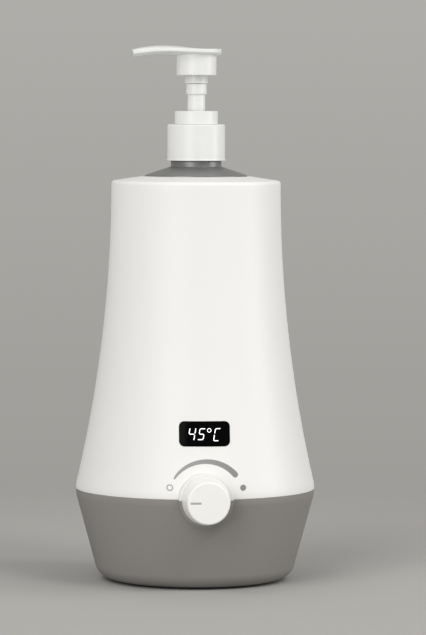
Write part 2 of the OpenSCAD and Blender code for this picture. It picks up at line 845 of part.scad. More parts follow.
// Two leads from the mat's lower edge, beside its slit: down past the well, then over to their block
module heater_leads() {
    handle = 10;
    side = heater_slit / 2 + 2 * lead_r;
    start_r = heater_r + lead_r + sleeve_gap;
    start_y = sqrt(pow(start_r, 2) - pow(side, 2));
    end_z = board_top_z + heater_block[4];
    color("#a33b34") for (s = [-1, 1]) {
        start = [s * side, start_y, heater_z];
        knee = [s * side, start_y, well_base_z - lead_r];
        end = [heater_block[0] + s * lead_pitch / 2, heater_block[1], end_z];
        bend = curve(knee, knee - [0, 0, handle], end + [0, 0, handle], end);
        sweep(concat([start], bend), lead_r, lead_sides, [1, 0, 0]);
    }
}

module sensor_leads() {
    handle = 8;
    half_pitch = 1;
    end_z = board_top_z + sensor_block[4];
    color("#3c4654") for (s = [-half_pitch, half_pitch]) {
        start = [sensor_x, s, well_base_z - fit - sensor_h];
        end = [sensor_block[0], sensor_block[1] + s, end_z];
        bend = curve(start, start - [0, 0, handle], end + [0, 0, handle], end);
        sweep(bend, lead_r / 2, lead_sides, [1, 0, 0]);
    }
}

// A flat ribbon from the foot of the display's board down to its connector
module display_leads() {
    handle = 12;
    top = [-digits_back + display_board_t / 2, window_z - display_board_h / 2];
    end = [display_block[1], board_top_z + display_block[4]];
    path = curve(top, top - [0, handle], end + [0, handle], end);
    one_side = [for (p = path) p - [ribbon_t / 2, 0]];
    other_side = [for (p = path) p + [ribbon_t / 2, 0]];
    color("#c3c4c6") translate([display_block[0] - ribbon_w / 2, 0, 0]) rotate([90, 0, 90])
        linear_extrude(ribbon_w) polygon(concat(one_side, reverse(other_side)));
}

// Two leads from the inlet's back: up through the gap behind the board, then into their block
module power_leads() {
    handle = 6;
    stub = 1;
    gap_y = board_back + 0.45 * lead_room;
    end_y = power_block[1] + power_block[3] / 2;
    end_z = board_top_z + power_block[4] / 2;
    color("#a33b34") for (s = [-1, 1]) {
        start = [s * lead_pitch / 2, inlet_back - face_gap, inlet_z];
        first = start - [0, stub, 0];
        end = [power_block[0] + s * lead_pitch / 2, end_y + face_gap, end_z];
        last = end + [0, stub, 0];
        knee = [(start[0] + end[0]) / 2, gap_y, board_z];
        rise = curve(first, first - [0, handle, 0], knee - [0, 0, handle], knee);
        bend = curve(knee, knee + [0, 0, handle], last + [0, handle, 0], last);
        path = concat([start], rise, [for (i = [1 : len(bend) - 1]) bend[i]], [end]);
        sweep(path, lead_r, lead_sides, [1, 0, 0]);
    }
}

// The bottle: straight body, low domed shoulder, neck ring and plain neck under the cap
module bottle() {
    edge = 3;
    push_up = 2;
    push_slope = 4;
    stand_r = bottle_r - 8;
    push_r = stand_r - push_slope;
    push_z = bottle_z + push_up;
    shoulder_edge = 1.4;
    shoulder_turn = 60;
    shoulder_low = 0.6;
    shoulder_cx = bottle_r - shoulder_edge;
    rise = shoulder_h - shoulder_low;
    ring_edge = 0.3;
    inner_drop = bottle_wall + 0.4;
    inner_side = 0.3;
    inner_top_z = shoulder_z - shoulder_low - shoulder_edge - bottle_wall;
    shoulder = [for (i = [0 : arc_steps]) let (t = i / arc_steps)
        [shoulder_cx + (neck_ring_r - shoulder_cx) * t, shoulder_z + shoulder_low + rise * sin(t * 90)]];
    color("#77787a") spin(concat([[0, push_z], [push_r, push_z], [stand_r, bottle_z]],
        arc(bottle_r - edge, bottle_z + edge, edge, -90, 0),
        arc(shoulder_cx, shoulder_z - shoulder_edge, shoulder_edge, 0, shoulder_turn, edge_steps),
        [for (i = [1 : arc_steps]) shoulder[i]],
        [[neck_ring_r, finish_z - ring_edge], [neck_ring_r - ring_edge, finish_z], [finish_r, finish_z],
        [finish_r, finish_top_z], [finish_bore_r, finish_top_z], [finish_bore_r, neck_z - bottle_wall]],
        [for (i = [arc_steps - 1 : -1 : 1]) shoulder[i] - [inner_side, inner_drop]],
        [[bottle_r - bottle_wall, inner_top_z]],
        arc(bottle_r - edge, bottle_z + edge, edge - bottle_wall, 0, -90),
        [[stand_r, bottle_z + bottle_wall], [push_r, push_z + bottle_wall], [0, push_z + bottle_wall]]));
}

module closure_cap() {
    edge = 1;
    lip_h = 1.2;
    lip_r = cap_r + cap_lip;
    color("#f4f4f2") spin(concat(
        [[cap_in_r, cap_z], [lip_r, cap_z], [lip_r, cap_z + lip_h / 2], [cap_r, cap_z + lip_h]],
        arc(cap_r - edge, cap_top_z - edge, edge, 0, 90),
        [[cap_hole_r, cap_top_z], [cap_hole_r, cap_inner_z], [cap_in_r, cap_inner_z]]));
}

// The collar and stem guide, whose tube plugs into the pump's cylinder and traps the cap
module chaplet() {
    edge = 0.5;
    slide_r = stem_r + fit;
    plug_r = pump_bore_r - fit;
    neck_r = cap_hole_r - face_gap;
    ring_room_r = stem_ring_r + move_gap;
    socket_room_r = head_socket_r + move_gap;
    socket_low_z = socket_z - stroke - move_gap;
    ring_low_z = stem_ring_z - stroke - move_gap;
    color("#f4f4f2") spin(concat([[slide_r, guide_z], [plug_r, guide_z], [plug_r, pump_top_z],
        [neck_r, pump_top_z], [neck_r, collar_z], [collar_r, collar_z]],
        arc(collar_r - edge, collar_top_z - edge, edge, 0, 90, edge_steps),
        [[socket_room_r, collar_top_z], [socket_room_r, socket_low_z], [ring_room_r, socket_low_z],
        [ring_room_r, ring_low_z], [slide_r, ring_low_z]]));
}

module pump_gasket() {
    gasket_in_r = pump_out_r + 0.4;
    color("#d9d6cf") tube(finish_r, gasket_in_r, finish_top_z, finish_top_z + pump_gasket_t);
}

// The pump's cylinder, hung by its flange, with a ball seat and a grip for the dip tube below
module pump_housing() {
    grip_in_r = dip_r + fit;
    grip_r = grip_in_r + pump_wall;
    room_out_r = ball_room_r + pump_wall;
    neck_z0 = spring_z - 3;
    color("#e6e6e2") spin([[pump_bore_r, pump_top_z], [finish_r, pump_top_z], [finish_r, pump_flange_z],
        [pump_out_r, pump_flange_z], [pump_out_r, spring_z - cut], [room_out_r, neck_z0],
        [room_out_r, ball_room_z], [grip_r, ball_seat_z - cut], [grip_r, dip_grip_z],
        [grip_in_r, dip_grip_z], [grip_in_r, dip_top_z], [ball_seat_r, dip_top_z],
        [ball_seat_r, ball_seat_z], [ball_room_r, ball_room_z], [ball_room_r, spring_z],
        [pump_bore_r, spring_z]]);
}

module dip_tube() {
    slant = 2 * dip_r;
    color("#e9e9e6") difference() {
        tube(dip_r, dip_r - dip_wall, dip_end_z, dip_top_z - face_gap);
        translate([0, 0, dip_end_z]) rotate([0, 45, 0]) translate([-4 * slant, -2 * slant, -8 * slant])
            cube([8 * slant, 4 * slant, 8 * slant]);
    }
}

module ball_valve() {
    seat_lean = atan((ball_room_r - ball_seat_r) / ball_seat_h);
    lift = ((ball_r + fit) - ball_seat_r * cos(seat_lean)) / sin(seat_lean);
    color("#b8bbbe") translate([0, 0, ball_seat_z + lift]) sphere(ball_r);
}

// One unbroken helix, with a close curl at each end and open curls between
rings_per_curl = 8;
end_curl_gap = 0.5;
end_pitch = 2 * wire_r + end_curl_gap;
mid_pitch = (spring_len - 2 * end_pitch) / (curls - 2);
function spring_height(turn) = turn < 1 ? turn * end_pitch
    : turn > curls - 1 ? spring_len - (curls - turn) * end_pitch
    : end_pitch + (turn - 1) * mid_pitch;
spring_foot_z = spring_z + wire_r + fit;
spring_path = [for (i = [0 : curls * rings_per_curl]) let (turn = i / rings_per_curl)
    [spring_r * cos(360 * turn), spring_r * sin(360 * turn), spring_foot_z + spring_height(turn)]];

module pump_spring() {
    wire_sides = 6;
    color("#b8bbbe") sweep(spring_path, wire_r, wire_sides, [0, 0, 1]);
}

// The cup seal that slides in the cylinder, with a lip at each end
module piston() {
    bore_r = rod_r + fit;
    lip_r = pump_bore_r - fit;
    waist_r = lip_r - 0.9;
    cup_r = lip_r - 1.6;
    heel = 0.4;
    lip_h = 1.6;
    lip_end = 2.4;
    color("#efefec") spin([[bore_r, piston_z], [cup_r, piston_z], [lip_r, piston_z + heel],
        [lip_r, piston_z + lip_h], [waist_r, piston_z + lip_end], [waist_r, piston_top_z - lip_end],
        [lip_r, piston_top_z - lip_h], [lip_r, piston_top_z - heel], [cup_r, piston_top_z],
        [bore_r, piston_top_z]]);
}

// The rod that the piston floats on: its flange rests on the spring and its top plugs into the stem
module piston_rod() {
    bore_r = 1.5;
    bore_z = piston_z - 0.5;
    port_r = 0.9;
    port_z = piston_z + 0.6;
    flange_r = spring_r + wire_r + 0.3;
    flange_top_z = rod_flange_z + rod_flange_t;
    color("#efefec") difference() {
        spin([[0, rod_foot_z], [rod_foot_r - rod_foot_t, rod_foot_z], [rod_foot_r, rod_foot_z + rod_foot_t],
            [rod_foot_r, rod_flange_z], [flange_r, rod_flange_z], [flange_r, flange_top_z],
            [rod_r, flange_top_z], [rod_r, rod_top_z], [bore_r, rod_top_z], [bore_r, bore_z], [0, bore_z]]);
        translate([-rod_r - cut, 0, port_z]) rotate([0, 90, 0]) cylinder(r = port_r, h = 2 * (rod_r + cut));
    }
}

module pump_stem() {
    bore_r = 2.2;
    edge = 0.4;
    grip_r = rod_r + fit;
    grip_top_z = rod_top_z + face_gap;
    color("#f4f4f2") spin([[grip_r, stem_z], [stem_r, stem_z], [stem_r, stem_ring_z],
        [stem_ring_r, stem_ring_z], [stem_ring_r, socket_z - edge], [stem_ring_r - edge, socket_z],
        [stem_r, socket_z], [stem_r, stem_top_z], [bore_r, stem_top_z], [bore_r, grip_top_z],
        [grip_r, grip_top_z]]);
}

// The blade's outline along X: a flat back, a wave that crests before the tip, and a drop to the tip
wave_back = crest_x + 6;
blade_flat_z = blade_z + 2.5;
function wave_z(x) = x > -crest_x
    ? blade_flat_z + crest_h * (1 + cos(180 * min(1, (x + crest_x) / wave_back))) / 2
    : blade_flat_z + crest_h - (crest_h + tip_fall) * pow((x + crest_x) / (spout_reach - crest_x), 2);
function wave_share(x) = max(0, wave_z(x) - blade_flat_z) / crest_h;
function blade_half_w(x) = x > 0 ? sqrt(pow(blade_r, 2) - pow(x, 2))
    : tip_half_w + (blade_r - tip_half_w) * (1 + cos(180 * x / spout_reach)) / 2;
// Fall of the blade's top from its middle line to its edges: least on the flat, most on the crest
flat_crown = 0.3;
crest_crown = 1.3;
tip_crown = 0.9;
function blade_crown(x) =
    (x < -crest_x ? tip_crown : flat_crown) * (1 - wave_share(x)) + crest_crown * wave_share(x);
// Depth of the belly, which runs out at the blade's round back
back_power = 8;
function belly_depth(x) = blade_belly * (x > 0 ? sqrt(1 - pow(x / blade_r, back_power)) : 1);
// The blade's cross-section at x: a crowned top, an upright edge and a rounded belly
blade_across = 8;
tip_slant = 0.3;
tip_len = 1;
function across(k) = 2 * k / blade_across - 1;
function blade_ring(x) =
    let (top = wave_z(x), half_w = blade_half_w(x), crown = blade_crown(x), belly = belly_depth(x))
    let (lean = x < tip_len - spout_reach ? tip_slant : 0)
    concat(
        [for (k = [0 : blade_across]) let (s = across(k), drop = crown * s * s)
            [x + lean * drop, s * half_w, top - drop]],
        [for (k = [blade_across : -1 : 0]) let (s = across(k))
            let (drop = crown + blade_edge + belly * (1 - s * s))
            [x + lean * drop, s * half_w, top - drop]]);
blade_back_steps = 7;
blade_front_steps = 16;
blade_back_turn = 88;
blade_stations = concat(
    [for (i = [0 : blade_front_steps]) -spout_reach * (1 - i / blade_front_steps)],
    [for (i = [1 : blade_back_steps]) blade_r * sin(blade_back_turn * i / blade_back_steps)]);
module blade() {
    n = 2 * (blade_across + 1);
    last = (len(blade_stations) - 1) * n;
    points = [for (x = blade_stations) each blade_ring(x)];
    skin = [for (i = [0 : len(blade_stations) - 2], k = [0 : n - 1])
        let (a = i * n + k, b = i * n + (k + 1) % n)
        each [[a, b, a + n], [b, b + n, a + n]]];
    tip = [for (k = [0 : blade_across - 1])
        each [[k, n - 2 - k, k + 1], [k, n - 1 - k, n - 2 - k]]];
    back_end = [for (k = [0 : blade_across - 1]) let (a = last + k, b = last + n - 2 - k)
        each [[a, a + 1, b], [a, b, b + 1]]];
    polyhedron(points, concat(skin, tip, back_end), convexity = 6);
}

// A straight bore between two points in the plane of the spout
module channel(from, to, r) {
    run = to - from;
    length = norm(run);
    turn = [0, acos(run[2] / length), atan2(run[1], run[0])];
    translate(from) rotate(turn) cylinder(r = r, h = length);
}

module pump_head() {
    edge = 0.4;
    roof_t = 2.2;
    sink = 1;
    duct_lift = 0.6;
    crest_lift = 0.9;
    crest_back = 3;
    tip_drop = 2.6;
    skirt_in_r = skirt_r - skirt_wall;
    slide_r = stem_r + fit;
    roof_z = blade_z - roof_t;
    duct_z = blade_z + duct_lift;
    crest_duct = [crest_back - crest_x, 0, duct_z + crest_lift];
    tip_duct = [-spout_reach - 2 * cut, 0, wave_z(-spout_reach) - tip_drop];
    outlet_r = 0.9 * channel_r;
    riser_r = 1.5 * channel_r;
    riser_top_z = duct_z + channel_r + face_gap;
    color("#f4f4f2") difference() {
        union() {
            blade();
            spin(concat([[skirt_in_r, skirt_z]],
                arc(skirt_r - edge, skirt_z + edge, edge, -90, 0, edge_steps),
                [[skirt_r, blade_z + sink], [0, blade_z + sink], [0, roof_z], [skirt_in_r, roof_z]]));
            tube(head_socket_r, slide_r, socket_z + face_gap, roof_z + sink / 2);
        }
        translate([0, 0, skirt_z]) cylinder(r = slide_r, h = stem_top_z + face_gap - skirt_z);
        translate([0, 0, skirt_z]) cylinder(r = riser_r, h = riser_top_z - skirt_z);
        channel([0, 0, duct_z], crest_duct, channel_r);
        channel(crest_duct + [2 * channel_r, 0, 0], tip_duct, outlet_r);
    }
}

upper_housing();
base_housing();
housing_screws();
ring_foot();
display_window();
digit_display();
display_board();
display_screws();
potentiometer();
pot_shaft();
knob();
knob_pointer();
control_board();
board_parts();
board_screws();
heater_well();
well_gasket();
well_screws();
heater_band();
insulation_sleeve();
temperature_sensor();
thermal_fuse();
power_inlet();
inlet_nut();
heater_leads();
sensor_leads();
display_leads();
power_leads();
bottle();
closure_cap();
chaplet();
pump_gasket();
pump_housing();
dip_tube();
ball_valve();
pump_spring();
piston();
piston_rod();
pump_stem();
pump_head();
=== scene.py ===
# %% [markdown]
# # Massage oil warmer
# A white flared housing on a grey base warms a grey bottle, and a white lotion pump stands on top.
# The construction is loaded first, at its real size, and stays where it is. The cells below dress it:
# a finish for every piece, soft edges, threads, prints, a spring, light and a camera.

# %% Load the construction
import json
import math
from contextlib import contextmanager

import bmesh
import bpy
from mathutils import Matrix, Quaternion, Vector


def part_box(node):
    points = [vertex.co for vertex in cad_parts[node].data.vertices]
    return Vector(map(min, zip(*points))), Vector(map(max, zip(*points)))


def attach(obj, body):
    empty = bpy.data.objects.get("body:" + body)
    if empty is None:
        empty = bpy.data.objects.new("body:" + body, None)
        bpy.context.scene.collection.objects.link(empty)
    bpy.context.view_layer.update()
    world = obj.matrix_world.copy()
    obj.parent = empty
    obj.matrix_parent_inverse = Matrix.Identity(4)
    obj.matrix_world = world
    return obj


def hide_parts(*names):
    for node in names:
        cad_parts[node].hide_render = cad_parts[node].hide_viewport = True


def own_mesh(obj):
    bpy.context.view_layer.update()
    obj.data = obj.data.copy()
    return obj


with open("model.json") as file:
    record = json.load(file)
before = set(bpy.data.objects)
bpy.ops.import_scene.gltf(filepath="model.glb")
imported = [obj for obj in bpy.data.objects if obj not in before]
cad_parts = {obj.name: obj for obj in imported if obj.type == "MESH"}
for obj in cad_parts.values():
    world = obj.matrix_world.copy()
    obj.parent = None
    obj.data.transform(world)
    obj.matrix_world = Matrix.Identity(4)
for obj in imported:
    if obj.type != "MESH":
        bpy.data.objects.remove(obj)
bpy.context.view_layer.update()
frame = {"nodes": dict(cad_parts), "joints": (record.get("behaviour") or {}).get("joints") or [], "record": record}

MM = 0.001
body_of = {}
for body, nodes in frame["record"]["behaviour"]["bodies"].items():
    for node in nodes:
        body_of[node] = body
slot_of = {row["node"]: row["material_slot"] for row in frame["record"]["subparts"]}

# %% [markdown]
# Finishes and shapes are both drawn with nodes here, so one small function adds a node to any tree:
# its settings are plain properties, and an input takes either a value or another node's socket.
# Colours are written as they look on a screen and turned to the linear values that light adds up in.

# %% Nodes and colours
def linear(code):
    """Linear RGBA of an sRGB hex colour."""
    shares = [int(code[i:i + 2], 16) / 255 for i in (1, 3, 5)]
    return [s / 12.92 if s <= 0.04045 else ((s + 0.055) / 1.055) ** 2.4 for s in shares] + [1.0]


def add(tree, kind, inputs=None, **settings):
    """Adds one node to a tree and returns it."""
    node = tree.nodes.new(kind)
    for name, value in settings.items():
        setattr(node, name, value)
    for key, value in (inputs or {}).items():
        if isinstance(value, bpy.types.NodeSocket):
            tree.links.new(value, node.inputs[key])
        else:
            node.inputs[key].default_value = value
    return node


def new_finish(name, **surface):
    """A material with its shader, whose even values are set on the shader's own sockets."""
    material = bpy.data.materials.new(name)
    material.use_nodes = True
    tree = material.node_tree
    shader = tree.nodes["Principled BSDF"]
    for socket, value in surface.items():
        shader.inputs[socket.replace("_", " ")].default_value = value
    place = add(tree, "ShaderNodeTexCoord").outputs["Object"]
    return material, tree, shader, place


print("white #ffffff is", linear("#ffffff"), "in linear light")

# %% [markdown]
# Most pieces are moulded: ABS, polypropylene, nylon, rubber and silicone all come out of a steel tool.
# The eye sees one colour with very faint clouds, where the melt cooled unevenly, and a fine spark
# texture from the tool that spreads the gloss. One function gives both, with its sizes in millimetres.
# The spark grain of these tools is about 0.1 mm; it is drawn at 0.4 mm or more so that it shows at all.

# %% Moulded plastics, rubber and silicone
CLOUD_MM, GRAIN_LOW, GRAIN_HIGH = 40.0, 0.3, 0.7


def grained(tree, shader, tint, grain, dent_mm, dull, spread):
    """Colours a surface, and lets a grain dent it and spread its gloss about a roughness."""
    gloss = add(tree, "ShaderNodeMapRange", {"Value": grain, "From Min": GRAIN_LOW, "From Max": GRAIN_HIGH,
                                             "To Min": dull - spread, "To Max": dull + spread})
    dents = add(tree, "ShaderNodeBump", {"Height": grain, "Distance": dent_mm * MM})
    tree.links.new(tint, shader.inputs["Base Color"])
    tree.links.new(gloss.outputs["Result"], shader.inputs["Roughness"])
    tree.links.new(dents.outputs["Normal"], shader.inputs["Normal"])


def moulded(name, colour, cloud, grain_mm, dent_mm, dull, spread=0.04, **surface):
    """A moulded finish: clouds between two colours, and a grain that dents and dulls the gloss."""
    material, tree, shader, place = new_finish(name, **surface)
    clouds = add(tree, "ShaderNodeTexNoise", {"Vector": place, "Scale": 1 / (CLOUD_MM * MM), "Detail": 3.0})
    tint = add(tree, "ShaderNodeMix", {0: clouds.outputs["Fac"], 6: linear(colour), 7: linear(cloud)},
               data_type="RGBA")
    grain = add(tree, "ShaderNodeTexNoise", {"Vector": place, "Scale": 1 / (grain_mm * MM), "Detail": 2.0})
    grained(tree, shader, tint.outputs[2], grain.outputs["Fac"], dent_mm, dull, spread)
    return material


finish = {
    # Satin white ABS: bright and even, with a wide soft sheen
    "white_housing_plastic": moulded("satin_white_abs", "#f3f2ef", "#f1f0ed", 0.5, 0.002, 0.46, IOR=1.54),
    # Spark-textured grey ABS: nearly matt, a little warm
    "grey_base_plastic": moulded("textured_grey_abs", "#95928f", "#928f8c", 0.6, 0.006, 0.7,
                                 IOR=1.54, Specular_IOR_Level=0.02),
    # The knob is the same ABS from a smoother tool
    "white_knob_plastic": moulded("smooth_white_abs", "#fdfcf9", "#fbfaf6", 0.5, 0.001, 0.36, IOR=1.54),
    # Printed ink: flat and dry, pale at the dial's low end and darker at its high end
    "grey_print": moulded("pad_printed_ink", "#a2a2a1", "#888887", 0.4, 0.001, 0.6, IOR=1.5),
    # Smoked acrylic, polished: black, with a faint clean reflection
    "black_window_acrylic": moulded("smoked_acrylic", "#050506", "#070708", 3.0, 0.0005, 0.12, 0.03,
                                    IOR=1.49, Specular_IOR_Level=0.03),
    # Glass-filled nylon of terminal blocks and the inlet: black with a dusty gloss
    "black_component_plastic": moulded("black_nylon", "#1c1d1f", "#232427", 0.4, 0.01, 0.48, IOR=1.53),
    # Rubber of the foot: dark, soft and dull
    "foot_rubber": moulded("nitrile_rubber", "#37373a", "#303032", 0.6, 0.02, 0.78, IOR=1.52),
    # Clear-grey silicone of the gaskets
    "silicone_seal": moulded("silicone_rubber", "#c3bfb7", "#b9b5ad", 0.8, 0.008, 0.5, IOR=1.41),
    # Pearl-grey polypropylene of the bottle: fine flakes in it turn the lamps into soft bands on the neck
    "grey_bottle_plastic": moulded("pearl_grey_polypropylene", "#868685", "#838382", 0.7, 0.001, 0.39,
                                   IOR=1.49, Metallic=0.42),
    # White polypropylene of the pump: cool white with a waxy gloss
    "white_pump_plastic": moulded("white_polypropylene", "#eaeae8", "#e8e8e6", 0.5, 0.001, 0.34, IOR=1.49),
    # Undyed polypropylene inside the pump: milky and a little see-through
    "natural_pump_plastic": moulded("natural_polypropylene", "#e8e8e3", "#dfe0dc", 0.6, 0.003, 0.36,
                                    IOR=1.49, Transmission_Weight=0.2),
}
print(len(finish), "moulded finishes")

# %% [markdown]
# Metals look the way they were worked. Zinc-plated screws are blotchy, a turned shaft has fine rings
# across its length, and a drawn cup has scratches along the draw. A photographed texture would need a
# map for each piece; stretching a noise pattern along an axis gives all of them.

# %% Metals
METAL_SPREAD = 0.08


def worked_metal(name, colour, shade, grain_mm, dent_mm, dull):
    """Metal with a grain that is grain_mm wide along X, Y and Z."""
    material, tree, shader, place = new_finish(name, Metallic=1.0)
    stretch = add(tree, "ShaderNodeMapping", {"Vector": place, "Scale": [1 / (g * MM) for g in grain_mm]})
    grain = add(tree, "ShaderNodeTexNoise", {"Vector": stretch.outputs[0], "Scale": 1.0, "Detail": 4.0})
    tint = add(tree, "ShaderNodeMix", {0: grain.outputs["Fac"], 6: linear(colour), 7: linear(shade)},
               data_type="RGBA")
    grained(tree, shader, tint.outputs[2], grain.outputs["Fac"], dent_mm, dull, METAL_SPREAD)
    return material


metals = {
    # Zinc plate: bluish grey, blotched
    "zinc_steel": worked_metal("zinc_plated_steel", "#b9bdc2", "#9da1a7", (1.2, 1.2, 1.2), 0.004, 0.34),
    # Turned aluminium shaft: rings across its length, which lies along Y
    "shaft_aluminium": worked_metal("turned_aluminium", "#d3d4d6", "#c0c1c4", (4.0, 0.25, 4.0), 0.004, 0.28),
    # Deep-drawn aluminium cup: long scratches along the draw
    "well_aluminium": worked_metal("drawn_aluminium", "#cfd0d2", "#bcbdc0", (0.5, 0.5, 25.0), 0.006, 0.32),
    # Drawn spring wire: bright, with a fine lengthwise shade
    "spring_steel": worked_metal("drawn_spring_wire", "#c2c4c7", "#a9acb0", (0.3, 0.3, 0.6), 0.002, 0.22),
}
finish.update(metals)
print("metals:", list(metals))

# %% [markdown]
# A circuit board is glass cloth under green lacquer, and copper tracks lift the lacquer a little. A heater
# mat is silicone pressed on glass cloth, so it has a small square weave. Both could be image textures,
# but a brick pattern and an even cell pattern give their grids at any distance.

# %% Board and heater mat
TRACK_MM, TRACK_H_MM, WEAVE_MM, WEAVE_H_MM = 6.0, 0.04, 1.2, 0.12


def circuit_lacquer():
    """Green lacquer over glass cloth, paler and raised where tracks run."""
    material, tree, shader, place = new_finish("green_circuit_lacquer", Roughness=0.3, IOR=1.5)
    tracks = add(tree, "ShaderNodeTexBrick",
                 {"Vector": place, "Scale": 1 / (TRACK_MM * MM), "Mortar Size": 0.06,
                  "Color1": linear("#1f5c36"), "Color2": linear("#235f3a"), "Mortar": linear("#3c8a52")})
    dents = add(tree, "ShaderNodeBump", {"Height": tracks.outputs["Fac"], "Distance": TRACK_H_MM * MM})
    tree.links.new(tracks.outputs["Color"], shader.inputs["Base Color"])
    tree.links.new(dents.outputs["Normal"], shader.inputs["Normal"])
    return material


def heater_cloth():
    """Brick-red silicone on glass cloth, with a square weave."""
    material, tree, shader, place = new_finish("silicone_heater_cloth", Roughness=0.62, IOR=1.41)
    weave = add(tree, "ShaderNodeTexVoronoi",
                {"Vector": place, "Scale": 1 / (WEAVE_MM * MM), "Randomness": 0.0})
    tint = add(tree, "ShaderNodeMix", {0: weave.outputs["Distance"], 6: linear("#bb5a34"),
                                       7: linear("#96401f")}, data_type="RGBA")
    dents = add(tree, "ShaderNodeBump", {"Height": weave.outputs["Distance"], "Distance": WEAVE_H_MM * MM,
                                         "Strength": 0.6})
    tree.links.new(tint.outputs[2], shader.inputs["Base Color"])
    tree.links.new(dents.outputs["Normal"], shader.inputs["Normal"])
    return material


finish["circuit_board"] = circuit_lacquer()
finish["heater_silicone"] = heater_cloth()
print(finish["circuit_board"].name, "and", finish["heater_silicone"].name)

# %% [markdown]
# The sleeve round the heater is felt, all loose fibres. The leads have an extruded skin, smooth and a
# little waxy, in red, slate or grey. The grain of the moulded finish serves for all of them, with deep
# dents for the fibres. Three nodes have a finish of their own; every other one has its slot's.

# %% Felt, leads and every node
# Needled felt: pale fibres, no gloss at all
finish["insulation_felt"] = moulded("needled_felt", "#dcd8cc", "#c9c4b6", 0.7, 0.5, 0.95, IOR=1.45)
# Lead skin: even colour with a waxy gloss
finish["lead_insulation"] = moulded("red_lead_skin", "#a83d36", "#993530", 0.8, 0.004, 0.4, IOR=1.5)
own_finish = {
    "sensor_leads": moulded("slate_lead_skin", "#46515f", "#3c4654", 0.8, 0.004, 0.4, IOR=1.5),
    "display_leads": moulded("grey_ribbon_skin", "#c3c4c6", "#b7b8bb", 0.8, 0.004, 0.42, IOR=1.5),
    # The pointer is a groove sunk in the white knob; its pale grey is painted shade of the groove
    "knob_pointer": moulded("pointer_groove_painted_shade", "#bababa", "#b5b5b3", 0.4, 0.001, 0.6, IOR=1.5),
}


def finish_of(node):
    """A node's own finish, or else the one of its material slot."""
    return own_finish.get(node, finish[slot_of[node]])


for node, piece in frame["nodes"].items():
    piece.data.materials.clear()
    piece.data.materials.append(finish_of(node))
print(len(finish) + len(own_finish), "finishes on", len(frame["nodes"]), "nodes")

# %% [markdown]
# Meshes are edited in code through bmesh, and modifiers do the rest. A few helpers keep that short: one
# opens a mesh and writes it back, one turns modifiers into plain mesh, one shades a piece smooth up to
# its creases, and two join points that lie on the same spot.

# %% Mesh helpers
CREASE, NODE_WELD_MM, WELD_MM = math.radians(35), 0.002, 0.0005


@contextmanager
def reshaping(mesh):
    """Opens a mesh for editing and writes the result back."""
    shape = bmesh.new()
    shape.from_mesh(mesh)
    yield shape
    shape.to_mesh(mesh)
    shape.free()


def piece_from(name, mesh):
    """A new object at the origin that holds the mesh."""
    piece = bpy.data.objects.new(name, mesh)
    bpy.context.scene.collection.objects.link(piece)
    return piece


def baked(piece):
    """Turns a piece's modifiers into plain mesh."""
    graph = bpy.context.evaluated_depsgraph_get()
    mesh = bpy.data.meshes.new_from_object(piece.evaluated_get(graph))
    piece.modifiers.clear()
    piece.data = mesh
    return piece


def smoothed(piece):
    """Shades a piece smooth up to its creases, with large faces leading."""
    piece.data.shade_smooth()
    piece.data.set_sharp_from_angle(angle=CREASE)
    lead = piece.modifiers.new("Even shading", "WEIGHTED_NORMAL")
    lead.keep_sharp = True
    return baked(piece)


def outward(piece):
    """Merges a piece's doubles and turns its faces outwards."""
    with reshaping(piece.data) as shape:
        bmesh.ops.remove_doubles(shape, verts=shape.verts, dist=WELD_MM * MM)
        bmesh.ops.recalc_face_normals(shape, faces=shape.faces)
    return piece


def welded(node):
    """The triangles of a node, joined at their corners and open for editing."""
    shape = bmesh.new()
    shape.from_mesh(frame["nodes"][node].data)
    bmesh.ops.remove_doubles(shape, verts=shape.verts, dist=NODE_WELD_MM * MM)
    return shape


print("creases from", round(math.degrees(CREASE)), "degrees")

# %% [markdown]
# Real edges are never knife-sharp: a moulded or turned edge has a small radius that catches a thread of
# light. The construction's meshes are loose triangles, so a copy is merged, its flat triangles are
# joined, and a Bevel modifier rounds what is left of the sharp edges. The copy then stands for its node.

# %% Pieces and their edges
FLAT = math.radians(0.2)


def merged(node):
    """A copy of a node with its loose triangles joined and its flat ones made one face."""
    shape = welded(node)
    bmesh.ops.dissolve_limit(shape, angle_limit=FLAT, verts=shape.verts, edges=shape.edges)
    mesh = bpy.data.meshes.new(node + "_finished")
    shape.to_mesh(mesh)
    shape.free()
    mesh.materials.append(finish_of(node))
    return piece_from(node + "_finished", mesh)


def settle(piece, node, hides=True):
    """A piece rides on a node's body and, if it hides the node, stands for it."""
    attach(piece, body_of[node])
    if hides:
        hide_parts(node)
    return piece


def softened(node, edge_mm, moved=None):
    """The merged copy of a node with a small radius on its sharp edges; a rule may move its points."""
    piece = merged(node)
    if moved:
        for vert in piece.data.vertices:
            vert.co = moved(vert.co)
    edge = piece.modifiers.new("Edge radius", "BEVEL")
    edge.width = edge_mm * MM
    edge.segments = 3
    edge.limit_method = "ANGLE"
    edge.angle_limit = CREASE
    return settle(smoothed(baked(piece)), node)


EDGE_MM = {"knob": 0.25, "knob_pointer": 0.12, "display_window": 0.15, "ring_foot": 0.2,
           "power_inlet": 0.25, "heater_well": 0.3, "well_gasket": 0.15}
soft_pieces = {node: softened(node, edge_mm) for node, edge_mm in EDGE_MM.items()}
print({node: len(piece.data.polygons) for node, piece in soft_pieces.items()})

# %% [markdown]
# The housings' long smooth walls are full of cut-outs, and the thin faces round a cut-out bend the
# shading. The walls follow arcs, though: the flare curves inwards, the belly and the lower edge curve
# outwards, and a cone joins those two. So the code can say which way a true wall faces at each point.

